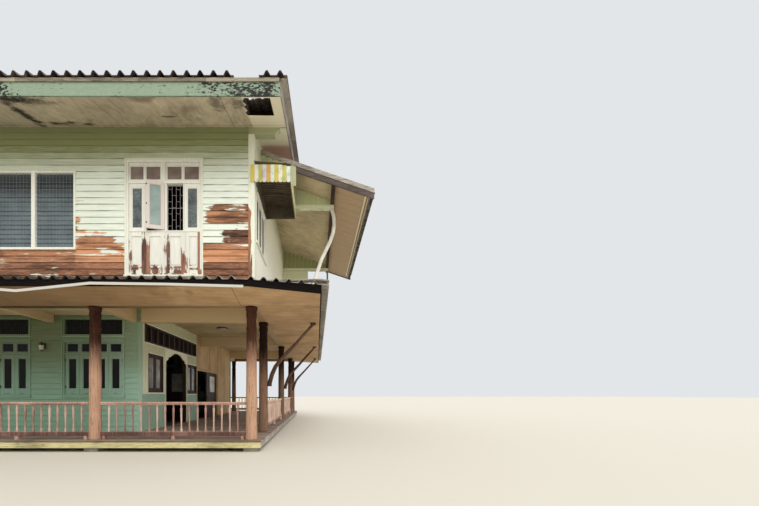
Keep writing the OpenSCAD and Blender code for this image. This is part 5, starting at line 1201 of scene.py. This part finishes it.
louvred(front, *louvre, louvre_foot, louvre_head, [-5.79, -4.765], True)
for u0, u1 in rear_spans:
    louvred(rear, u0, u1, louvre_foot, louvre_head, [(u0 + u1) / 2], False)
for place, spans in ((right, right_spans), (left, left_spans)):
    for u0, u1 in spans:
        outer_frame(rack, place, u0, u1, gable_foot, gable_head)
        third = (u1 - u0 - 2 * jamb) / 3
        for i in range(3):
            a = u0 + jamb + i * third
            leaf(rack, gable_panes, place, a + 0.002, a + third - 0.002, 4.737, 5.843, 0.06, 0.09, 0.06,
                 d=0.0, thick=0.034)
racks = edged(finished(rack, "white_window_frames", window_white))
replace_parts(racks, "louvred_window", "upper_back_windows")
finished(blades, "glass_blades", blade_glass_painted_sky)
finished(mesh_wire, "insect_wire", wire_grey)
finished(gable_panes, "gable_window_panes", dark_glass)
finished(bars, "window_bars", grille_white)
finished(small_iron, "hinges_and_hooks", hinge_iron)

# %% [markdown]
# ## Turned posts and balusters
# Each post is a log turned on a lathe: a slight swell at the foot, a long taper, two beads
# and a flared cap under the beam. The balusters are turned too, about 180 mm apart, thin
# at a waist and round at a shoulder. A spin of one profile makes each of them, and copies
# of it are set out along the rails. Old logs aren't true, so a slow noise bends the posts;
# it has a seed, because this kind of noise would otherwise bend them anew on every run.

# %% Turning and setting out
def turned(shape, profile, steps, foot=(0, 0, 0)):
    """Spins a profile of (radius, height) round an upright axis at foot, and closes both ends."""
    verts = [shape.verts.new(Vector(foot) + Vector((radius, 0, height))) for radius, height in profile]
    edges = [shape.edges.new(pair) for pair in zip(verts, verts[1:])]
    bmesh.ops.spin(shape, geom=verts + edges, cent=foot, axis=(0, 0, 1), angle=math.tau, steps=steps,
                   use_merge=True)
    bmesh.ops.holes_fill(shape, edges=[edge for edge in shape.edges if edge.is_boundary], sides=steps)


def set_out(shape, places):
    """Copies what the shape holds to each place, with a tint for each copy."""
    key = shape.verts.layers.float["tint"]
    sample = shape.verts[:] + shape.edges[:] + shape.faces[:]
    for i, place in enumerate(places):
        last = i == len(places) - 1
        copy = sample if last else bmesh.ops.duplicate(shape, geom=sample)["geom"]
        hue = dice.random()
        for vert in copy:
            if isinstance(vert, bmesh.types.BMVert):
                vert.co = place @ vert.co
                vert[key] = hue


# %% Posts
post_profile = [(0.134, 0.0), (0.134, 0.03), (0.127, 0.10), (0.123, 0.25), (0.121, 0.60), (0.119, 1.00),
                (0.118, 1.40), (0.115, 1.80), (0.112, 2.20), (0.110, 2.40), (0.118, 2.425), (0.118, 2.455),
                (0.106, 2.49), (0.105, 2.66), (0.112, 2.70), (0.119, 2.735), (0.119, 2.775), (0.110, 2.80),
                (0.112, 2.83), (0.127, 2.86), (0.128, 2.9245)]
front_line = [(-bay * i, 0.0) for i in range(4)]
back_line = [(0.0, 1.6), (0.0, 6.0), (0.0, 10.4)] + [(-bay * i, 12.0) for i in range(4)]
noise.seed_set(7)
for name, line, node in (("turned_front_posts", front_line, "front_posts"),
                         ("turned_back_posts", back_line, "back_posts")):
    shape = new_shape()
    turned(shape, post_profile, 24)
    set_out(shape, [at(x, y, deck_top) for x, y in line])
    for vert in shape.verts:
        bend = noise.noise_vector(Vector((vert.co.x * 3, vert.co.y * 3, vert.co.z * 0.7)))
        knots = noise.noise(vert.co * 9.0) * 0.003 * soft(vert.co.z, 0.4, 2.5, 0.15)
        reach = 0.006 * soft(vert.co.z, 0.5, 2.6, 0.25)
        vert.co.x += bend.x * reach + knots
        vert.co.y += bend.y * reach + knots
        # The posts along the front stand in the rain, the ones behind them keep their stain
        vert[shape.verts.layers.float["tint"]] = 0.9 + 0.03 * vert.co.x if vert.co.y < 0.5 else 0.08
    posts = finished(shape, name, post_wood)
    for face in posts.data.polygons:
        face.use_smooth = abs(face.normal.z) < 0.6
    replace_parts(posts, node)

# %% Balusters and rails
baluster = [(0.024, 0.0), (0.025, 0.045), (0.017, 0.075), (0.016, 0.20), (0.021, 0.40), (0.027, 0.485),
            (0.022, 0.52), (0.012, 0.54), (0.020, 0.56), (0.020, 0.594)]
apart = 0.178  # from baluster to baluster


def balustrade(name, node, lines, rail, sticks):
    """Panels (x, y, angle, length) from post to post: rails and blocks first, then their balusters."""
    shape = new_shape()
    places = []
    for x, y, angle, span in lines:
        line = at(x, y, 0) @ Matrix.Rotation(math.radians(angle), 4, "Z")
        lo, hi = 0.122, span - 0.122
        for half, low, high, tint in ((0.026, 1.006, 1.034, None), (0.036, 1.034, 1.070, 0.9),
                                      (0.032, 0.322, 0.406, -0.8), (0.037, 0.404, 0.418, 0.2)):
            board(shape, line, (lo, -half, low), (hi, half, high), step=0.4, tint=tint)
        for middle in (0.20, span / 2, span - 0.20):
            board(shape, line, (middle - 0.035, -0.035, deck_top), (middle + 0.035, 0.035, 0.323))
        count = int((span - 0.36) / apart)
        first = (span - (count - 1) * apart) / 2
        for i in range(count):
            lean = Matrix.Rotation(dice.uniform(-0.012, 0.012), 4, "Y")
            places.append(line @ at(first + i * apart, 0, 0.417) @ lean)
    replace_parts(edged(finished(shape, name + "_rails", rail), 0.004), node)
    shape = new_shape()
    turned(shape, baluster, 8)
    set_out(shape, places)
    finished(shape, name + "_balusters", sticks)


for name, y in (("front", 0), ("rear", 2 * ridge)):
    balustrade(name, name + "_balustrade", [(-bay * i, y, 0, bay) for i in (3, 2, 1)], rail_wood_x, rail_wood)
balustrade("side", "side_balustrade", [(0, 1.6, 90, 4.4), (0, 6.0, 90, 4.4), (0, 10.4, 90, 1.6)],
           rail_wood_y, rail_wood_y)

# %% [markdown]
# ## Bent braces
# From each side post a pole springs out and up to the edge of the lower roof. They are
# natural bends, thick at the foot and half as thick at the top. Rings of points are placed
# along a smooth path and bridged, which keeps the taper and the bend in one clean tube.

# %% Braces
def pole(shape, path, segments=12):
    """Bridges rings along a path of (point, radius) and closes the ends."""
    rings = []
    for i, (point, radius) in enumerate(path):
        before, after = path[max(i - 1, 0)][0], path[min(i + 1, len(path) - 1)][0]
        turn = (after - before).to_track_quat("Z", "Y").to_matrix().to_4x4()
        made = bmesh.ops.create_circle(shape, segments=segments, radius=radius, cap_ends=False,
                                       matrix=at(*point) @ turn)["verts"]
        rings.append(list({edge for vert in made for edge in vert.link_edges}))
    for one, two in zip(rings, rings[1:]):
        bmesh.ops.bridge_loops(shape, edges=one + two)
    bmesh.ops.holes_fill(shape, edges=rings[0] + rings[-1], sides=segments)


# Points in x and z over the deck, with the radius there
brace_bend = [(0.150, 1.225, 0.058), (0.185, 1.36, 0.060), (0.235, 1.53, 0.058), (0.325, 1.74, 0.055),
              (0.46, 1.92, 0.052), (0.62, 2.09, 0.049), (0.81, 2.29, 0.045), (1.03, 2.54, 0.041),
              (1.345, 2.885, 0.036)]
shape = new_shape()
for y in (1.6, 6.0, 10.4):
    sway = dice.uniform(-0.012, 0.012)
    pole(shape, [(Vector((x + 0.012 * noise.noise(Vector((x * 4, y, 0))), y + sway * math.sin(x * 3),
                          z + deck_top)), radius) for x, z, radius in brace_bend])
    # A block on the plate above, and one on the post
    board(shape, at(0, y, 0), (1.27, -0.05, 3.105), (1.415, 0.05, 3.164), tint=0.0)
    board(shape, at(0, y, 0), (0.105, -0.05, 1.455), (0.22, 0.05, 1.53), tint=0.0)
braces = finished(shape, "bent_knee_braces", brace_wood)
for face in braces.data.polygons:
    face.use_smooth = len(face.vertices) == 4 and face.area < 0.02
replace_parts(braces, "knee_braces")

# %% [markdown]
# ## The arched doorway
# The doorway in the side wall has no door. Its head is a board sawn into a cusped curve,
# set in front of a darker lining, with flat casings down both sides. The curve is drawn
# once for half of the head, then mirrored.

# %% Arch head and casings
shape = new_shape()
half = [(0.0, 2.585), (0.13, 2.578), (0.27, 2.545), (0.40, 2.475), (0.50, 2.425), (0.60, 2.405),
        (0.655, 2.36), (0.66, 2.315), (0.74, 2.30), (0.80, 2.235), (0.802, 2.15)]
outline = [(-y, z) for y, z in reversed(half)] + half[1:]
outline += [(0.862, 2.15), (0.862, 2.58), (0.70, 2.635), (-0.70, 2.635), (-0.862, 2.58), (-0.862, 2.15)]
arch_y = 3.72  # the middle of the doorway
face = shape.faces.new([shape.verts.new((-3.2585, arch_y + y, z)) for y, z in outline])
made = bmesh.ops.extrude_face_region(shape, geom=[face])["geom"]
bmesh.ops.translate(shape, vec=(0.022, 0, 0), verts=[v for v in made if isinstance(v, bmesh.types.BMVert)])
for y0, y1 in ((2.872, 2.922), (4.518, 4.568)):
    board(shape, straight, (-3.262, y0, 0.242), (-3.240, y1, 2.16), wear=lambda u, v: (-0.02, 0.1))
arch_front = finished(shape, "cusped_arch_head", side_paint)
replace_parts(arch_front, "arch_casing")

# %% Lining of the doorway
# Strips through the wall go up one jamb, over the head and down the other, and are then thickened
shape = new_shape()
lining = [(-0.797, 0.245), (-0.797, 2.30), (-0.62, 2.44), (-0.33, 2.565), (0.0, 2.598), (0.33, 2.565),
          (0.62, 2.44), (0.797, 2.30), (0.797, 0.245)]
for (ya, za), (yb, zb) in zip(lining, lining[1:]):
    corners = ((-3.392, ya, za), (-3.392, yb, zb), (-3.262, yb, zb), (-3.262, ya, za))
    shape.faces.new([shape.verts.new((x, arch_y + y, z)) for x, y, z in corners])
bmesh.ops.remove_doubles(shape, verts=shape.verts, dist=0.001)
bmesh.ops.recalc_face_normals(shape, faces=shape.faces)
bmesh.ops.solidify(shape, geom=shape.faces[:], thickness=0.006)
finished(shape, "arch_lining", dark_stain)

# %% [markdown]
# ## Doors
# The leaves are solids already. Each gets a figured pane in its upper half with beads
# round it, boards over its lock rail and stile, two raised panels below and an iron lock.
# These ride on the leaf, so they swing with it.

# %% Panes and beads of the two leaves
def door_dress(prefix, body, place):
    """place maps (along the leaf, across it, height) to the scene; the leaf is 1.29 m wide."""
    wood, pane, iron = new_shape(), new_shape(), new_shape()
    # Beads round the pane on both faces, then the lock rail, the lock stile and two raised panels
    for side in (-0.0165, 0.0215):
        for lo, hi in sides(0.118, 0.902, 1.31, 2.060, 0.024):
            board(wood, place, (lo[0], side, lo[1]), (hi[0], side + 0.0095, hi[1]), step=uncut)
    for half, u0, u1, v0, v1 in ((0.014, 0.112, 1.182, 1.145, 1.309), (0.014, 0.903, 1.182, 1.31, 2.066),
                                 (0.015, 0.15, 0.61, 0.42, 0.98), (0.015, 0.69, 1.15, 0.42, 0.98)):
        board(wood, place, (u0, -half, v0), (u1, half, v1), step=uncut)
    board(pane, place, (0.141, -0.0095, 1.333), (0.879, 0.0095, 2.037), step=uncut, tint=0.6)
    for side in (-0.034, 0.020):
        board(iron, place, (1.215, side, 1.02), (1.255, side + 0.014, 1.16), step=uncut)
    edged(finished(wood, prefix + "_door_beads", dark_stain, body=body))
    finished(pane, prefix + "_door_pane", door_glass, body=body)
    edged(finished(iron, prefix + "_door_lock", hinge_iron, body=body))


# The far leaf is shut and runs to the front, the near one stands open into the room
door_dress("far", "far_leaf", wall(-90, -3.355, 8.195))
door_dress("near", "near_leaf", wall(180, -3.3925, 5.6375))

# %% [markdown]
# ## Lamps
# A six-sided lantern hangs from an iron arm beside the front windows, and a shallow dish of
# opal glass sits under the side ceiling. Both are spun, the lantern with six steps and the
# dish with twenty-four.

# %% Lantern and dish lamp
lantern_foot, lamp_foot = (-5.85, 1.43, 2.43), (-1.83, 4.10, 3.537)
shape = new_shape()
board(shape, low_front, (-5.885, -0.035, 2.46), (-5.815, -0.019, 2.60), step=uncut)
board(shape, low_front, (-5.860, -0.130, 2.585), (-5.840, -0.02, 2.600), step=uncut)
turned(shape, [(0.012, 0.20), (0.03, 0.175), (0.075, 0.13), (0.078, 0.12), (0.062, 0.115), (0.040, -0.02),
               (0.030, -0.04), (0.012, -0.06)], 6, lantern_foot)
turned(shape, [(0.16, 0.0), (0.19, -0.006), (0.195, -0.024), (0.178, -0.036), (0.165, -0.036)], 24,
       lamp_foot)
lantern = finished(shape, "lantern_and_lamp_ring", lamp_black)
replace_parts(lantern, "lamps")
shape = new_shape()
turned(shape, [(0.061, 0.105), (0.0635, 0.10), (0.042, -0.015)], 6, lantern_foot)
turned(shape, [(0.166, -0.034), (0.160, -0.052), (0.120, -0.070), (0.060, -0.078), (0.012, -0.080)], 24,
       lamp_foot)
finished(shape, "opal_lamp_bowls", lamp_glass)

# %% [markdown]
# ## Side wall in two colours
# The side wall is painted cream above the sills and mint below them, on upright boards. A
# thin skin of boards carries both colours. It is cut where they meet, and round the windows
# and the doorway.

# %% Boards of the side wall
side_gaps = [(u0 - 0.03, u1 + 0.03, v0 - 0.03, v1 + 0.03) for u0, u1, v0, v1 in arch_windows]
side_gaps += [(1.65, 5.52, 2.65, 3.21), (2.862, 4.578, 0.0, 2.66)]


def side_skin(name, finish, low, high):
    shape = new_shape()
    upright(shape, low_right, (1.545, 5.535), lambda u: low, lambda u: high, side_gaps, low_wear, wide=0.19,
            thick=0.006)
    finished(shape, name, finish)


side_skin("side_wall_dado_boards", mint_paint, 0.242, 1.25)
side_skin("side_wall_cream_boards", side_paint, 1.25, low_wall[1])

# %% Battens on the plywood
shape = new_shape()
for foot, places in ((2.276, (5.556, 7.10, 8.244)), (0.245, (8.275, 9.30, 10.38))):
    for y in places:
        board(shape, low_right, (y - 0.012, -0.008, foot), (y + 0.012, 0.002, 3.545), tint=0.2)
board(shape, low_right, (5.54, -0.012, 2.235), (8.26, 0.002, 2.275), tint=0.1)
finished(shape, "plywood_cover_strips", batten_paint)

# %% [markdown]
# ## Deck boards, nosing and rim
# The veranda floor is boarded. The boards lie 2.5 mm proud of the deck solid with gaps
# between them, so the floor has real joints, and a nosing with eased edges covers their
# ends. The side rim has lost its paint, the front rim kept it.

# %% Deck boards
shape = new_shape()


def decking(x0, x1, y0, y1, wide=0.142):
    """Rows of boards along x, with their butts at odd places."""
    for i in range(int((y1 - y0) / wide)):
        x = x0
        while x < x1 - 0.01:
            long = min(dice.uniform(1.8, 3.4), x1 - x)
            if x1 - x - long < 0.5:
                long = x1 - x
            y = y0 + i * wide
            board(shape, straight, (x + 0.0015, y + 0.002, 0.236),
                  (x + long - 0.0015, y + wide - 0.002, 0.2425 + dice.uniform(0, 0.0012)), step=0.8)
            x += long


decking(-10.40, 0.235, -0.235, 1.535)
decking(-3.255, 0.235, 1.535, 10.465)
decking(-10.40, 0.235, 10.465, 12.235)
finished(shape, "deck_boards", deck_wood)

# %% Nosings and the facing of the side rim
shape = new_shape()
# The nosings take the black-brown barge finish: painted shade for the shadow line under the bottom rail
for y0, y1 in ((-0.256, -0.236), (12.236, 12.256)):
    board(shape, straight, (-10.41, y0, 0.216), (0.256, y1, 0.243), step=0.5)
edged(finished(shape, "front_deck_nosing", silver_dark), 0.005)
shape = new_shape()
board(shape, straight, (0.238, -0.236, 0.216), (0.262, 12.236, 0.243), step=0.5)
edged(finished(shape, "side_deck_nosing", silver_wood), 0.005)
shape = new_shape()
for a, b in ((-0.236, 3.1), (3.105, 6.8), (6.805, 9.9), (9.905, 12.236)):
    board(shape, straight, (0.2405, a, 0.100), (0.250, b, 0.214), step=0.4)
finished(shape, "side_rim_facing", silver_wood)

# %% [markdown]
# ## The striped awning
# A sheet awning shades the first side window. Its skirts are narrow enamelled strips in
# yellow, white and pastel, each cut round at its lower end, over a dark ribbed underside.
# Every strip is a board of its own with two corners bevelled round, and a stepped colour
# ramp turns its stored number into one of the colours.

# %% Striped enamel
striped, tree, shader = new_material("striped_awning_enamel")
which = add(tree, "ShaderNodeAttribute", attribute_name="tint").outputs["Fac"]
stripes = ["#d8c24a", "#e8e8d6", "#c8c45c", "#dcd6e2", "#dcaa48", "#dbe6d4"]
ramp = add(tree, "ShaderNodeValToRGB", {"Fac": which},
           stops=[(i / 6, code) for i, code in enumerate(stripes)])
ramp.color_ramp.interpolation = "CONSTANT"
# Dust lies on the enamel in clouds about 140 mm across
plain = add(tree, "ShaderNodeTexCoord").outputs["Object"]
dust = add(tree, "ShaderNodeTexNoise", {"Vector": plain, "Scale": 7.0, "Detail": 7.0})
dust = add(tree, "ShaderNodeMapRange", {"Value": dust, "From Min": 0.45, "From Max": 0.75, "To Max": 0.55})
face = add(tree, "ShaderNodeMix", {0: dust, 6: ramp, 7: linear("#857a5c")}, data_type="RGBA").outputs[2]
feed(shader, {"Base Color": face, "Roughness": 0.5})
stripe_order = [0, 1, 2, 3, 4, 5, 0, 1, 2, 5]


def strip(shape, place, u0, u1, v0, v1, number):
    """An enamelled strip with its lower end cut round."""
    tint = (stripe_order[number % 10] + 0.5) / 6
    made = board(shape, place, (u0, -0.002, v0), (u1, 0.002, v1), step=uncut, tint=tint)
    low = sorted(made, key=lambda vert: vert.co.z)[:4]
    ends = [edge for edge in {e for vert in low for e in vert.link_edges}
            if all(v in low for v in edge.verts) and edge.calc_length() < 0.01]
    bmesh.ops.bevel(shape, geom=ends, offset=0.42 * (u1 - u0), affect="EDGES", segments=3, profile=0.5,
                    material=-1)


print("stripes", len(stripes))

# %% Skirts of the awning
shape = new_shape()
wide = 0.087
for i in range(10):
    a = -0.002 + i * wide
    top = 6.245 - 0.05 * max(0.0, (i - 6.5) / 3) ** 1.5
    strip(shape, wall(0, 0, -0.098), a, a + wide - 0.002, 5.862, top, i)
for i in range(19):
    a, climb = -0.095 + i * wide, 0.0036 * i
    strip(shape, wall(90, 0.872, 0), a, a + wide - 0.002, 5.868 + climb, 6.215 + climb, i + 3)
for i in range(9):
    a = 0.062 + i * 0.0895
    strip(shape, wall(0, 0, 1.552), a, a + 0.0875, 5.932, 6.325 - 0.007 * i, i)
finished(shape, "awning_stripes", striped)


# %% Ribbed top and dark lining of the awning
def sheared(x, y, z, rise_x=0.0, rise_y=0.0):
    """A frame at (x, y, z) in which a level board climbs along x or y and keeps its plumb ends."""
    return Matrix(((1, 0, 0, x), (0, 1, 0, y), (rise_x, rise_y, 1, z), (0, 0, 0, 1)))


shape = new_shape()
top = sheared(0, 0, 6.338, -0.075)
for i in range(19):
    a = -0.092 + i * wide
    for lo, hi, tint in (((0.062, a, -0.008 + 0.0001 * i), (0.870, a + wide, 0.0), 0.3),
                         ((0.062, a + 0.03, 0.0), (0.870, a + 0.055, 0.012), 0.6),
                         ((0.062, a + 0.03, -0.022), (0.866, a + 0.055, -0.008), 0.1)):
        board(shape, top, lo, hi, step=uncut, tint=tint)
lining = sheared(0, 0, 5.872, rise_y=0.042)
for lo, hi in (((0.845, -0.088, 0.0), (0.866, 1.548, 0.36)), ((0.062, 0.118, 0.0), (0.085, 1.548, 0.05)),
               ((0.0, -0.094, 0.0), (0.86, -0.088, 0.35)), ((0.062, 1.53, 0.0), (0.86, 1.546, 0.38))):
    board(shape, lining, lo, hi, step=uncut, tint=0.4)
for i in range(1, 20):
    x = 0.06 + i * 0.039
    board(shape, lining, (x, 1.520, 0.01), (x + 0.008, 1.531, 0.37), step=uncut, tint=0.0)
for y in (0.42, 0.98):
    board(shape, lining, (0.062, y, 0.33), (0.85, y + 0.03, 0.36), step=uncut, tint=0.5)
# A dark board closes the lining against the wall
board(shape, lining, (0.064, -0.086, 0.072), (0.080, 1.528, 0.395), step=uncut, tint=0.2)
awning_top = finished(shape, "awning_lining", awning_dark)
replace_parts(awning_top, "awning")

# %% [markdown]
# ## Screens, barge boards and laths of the side roof
# The ends of the side roof are closed with upright boards down to the outrigger. Its front
# edge has two barge boards, the upper one white with lichen and the lower one black brown,
# and a cream lath runs round under the sheets. They all follow the slope of the roof, so
# they are placed in a sheared frame, in which a level board becomes a sloping one with
# plumb-cut ends.

# %% Screens of the side roof
side_slope = 0.34


def sloping(y):
    """The side roof's own frame: u in x from the wall, v over the rafters' underside."""
    return sheared(0.06, y, 7.059, -side_slope)


def under_side(u):
    return 7.040 - side_slope * (u - 0.06)


def low_crest(u):
    return 3.700 - 0.187 * (u - 0.06)


def shaded(grime_and_shade):
    """The wear of boards under a roof: sound paint, darkened by the same share all over."""
    return lambda u, v: (0.0, grime_and_shade)


screens, rails, lower_screen = new_shape(), new_shape(), new_shape()
# Boards over the awning, in front of the first rafter
upright(screens, wall(0, 0, 0.798), (0.064, 0.936), lambda u: 6.345,
        lambda u: 7.118 - side_slope * (u - 0.06), [], shaded(0.45), wide=0.145)
for y, shape in ((1.584, screens), (5.984, lower_screen)):
    upright(shape, wall(0, 0, y), (0.085, 1.84), lambda u: 6.322, under_side, [], shaded(0.2), wide=0.155)
    upright(rails, wall(180, 0, y + 0.032), (-1.84, -0.085), lambda u: 6.322, lambda u: under_side(-u), [],
            shaded(0.3), wide=0.155)
    board(rails, wall(0, 0, y - 0.034), (0.075, -0.012, 6.222), (1.895, 0.004, 6.318), wear=shaded(0.0))
upright(rails, wall(0, 0, 5.984), (0.085, 1.078), low_crest, lambda u: 6.218, [], shaded(0.0))
upright(rails, wall(180, 0, 6.016), (-1.078, -0.085), lambda u: low_crest(-u), lambda u: 6.218, [],
        shaded(0.1))
finished(screens, "side_screen_boards", screen_paint)
finished(lower_screen, "rear_screen_boards", shaded_screen_paint)
finished(rails, "screen_rails", lit_rail_paint)

# %% Barge boards and laths
lichen, brown_barge, laths = new_shape(), new_shape(), new_shape()
for y, way in ((0.80, -1), (6.50, 1)):
    for shape, low, high, out in ((lichen, 0.060, 0.168, 0.026), (brown_barge, -0.074, 0.064, 0.014)):
        lo, hi = sorted((0.0, way * out))
        # The lower board of the front stops at the awning
        first = 0.88 if low < 0 and way < 0 else 0.0
        for a, b in ((first, 1.32), (1.322, 2.79)):
            board(shape, sloping(y), (a, lo, low), (b, hi, high))
    board(laths, sloping(y - way * 0.035), (0.0, -0.008, -0.034), (2.66, 0.008, -0.013), step=0.5)
for u0, u1, low in ((2.575, 2.612, -0.036), (2.652, 2.664, -0.060)):
    board(laths, sloping(0), (u0, 0.84, low), (u1, 6.46, -0.013), step=0.4)
board(brown_barge, sloping(0), (2.690, 0.80, -0.072), (2.702, 6.50, 0.075), step=0.5)
finished(lichen, "lichen_barge_board", lichen_wood)
finished(brown_barge, "brown_barge_board", silver_dark)
finished(laths, "cream_eave_laths", lath_paint)

# %% Planks outside the long beam
shape = new_shape()
for i in range(19):
    y = 0.832 + i * 0.2965
    board(shape, sloping(0), (1.845, y, -0.019), (2.573, y + 0.289, -0.0125), step=0.4)
finished(shape, "side_eave_planks", plank_paint)

# %% [markdown]
# ## The edge of the main roof
# Between the ribs and the mint fascia lies a grey batten, and a flat grey board closes the
# overhang of the sheets beyond each verge. One roof sheet is gone at the right end, over a
# hole in the ceiling, and a slipped piece of it still lies in the gap.

# %% Battens and verge boards
shape = new_shape()
for a, b in ((-11.10, -7.6), (-7.595, -4.1), (-4.095, -0.6), (-0.595, 0.755)):
    board(shape, straight, (a, -1.222, 6.984 + dice.uniform(0, 0.004)), (b, -1.2005, 7.052))
    board(shape, straight, (a, 13.2005, 6.984), (b, 13.222, 7.052))
finished(shape, "roof_edge_batten", edge_wood)

shape = new_shape()
for way, height, y0, y1 in ((1, 7.1104, -1.19, 5.99), (-1, 7.1104 + 12 * slope, 6.01, 13.19)):
    fall = sheared(0, 0, height, rise_y=slope * way)
    for x0, x1 in ((0.792, 0.893), (-11.243, -11.142)):
        for k in range(3):
            a, b = y0 + k * (y1 - y0) / 3, y0 + (k + 1) * (y1 - y0) / 3 - 0.003
            board(shape, fall, (x0, a, 0.306), (x1, b, 0.3255), step=0.4)
finished(shape, "verge_edge_boards", silver_wood)

# %% The slipped sheet
# Four boards make one wave of the sheet: its trough, a flank, the crest and the other flank
shape = new_shape()
x = -0.085
while x < 0.37:
    tip = -0.52 + 0.05 * noise.noise(Vector((x * 9, 0, 0)))
    for lo, hi, low, high in ((0.0, 0.04, 0.0, 0.012), (0.04, 0.07, 0.006, 0.03), (0.07, 0.10, 0.024, 0.044),
                              (0.10, 0.13, 0.006, 0.03)):
        board(shape, sheared(0, 0, 7.438, rise_y=slope), (x + lo, tip, low), (x + hi, -0.12, high), step=0.2,
              tint=0.1)
    x += 0.13
finished(shape, "slipped_roof_sheet", roof_cement)
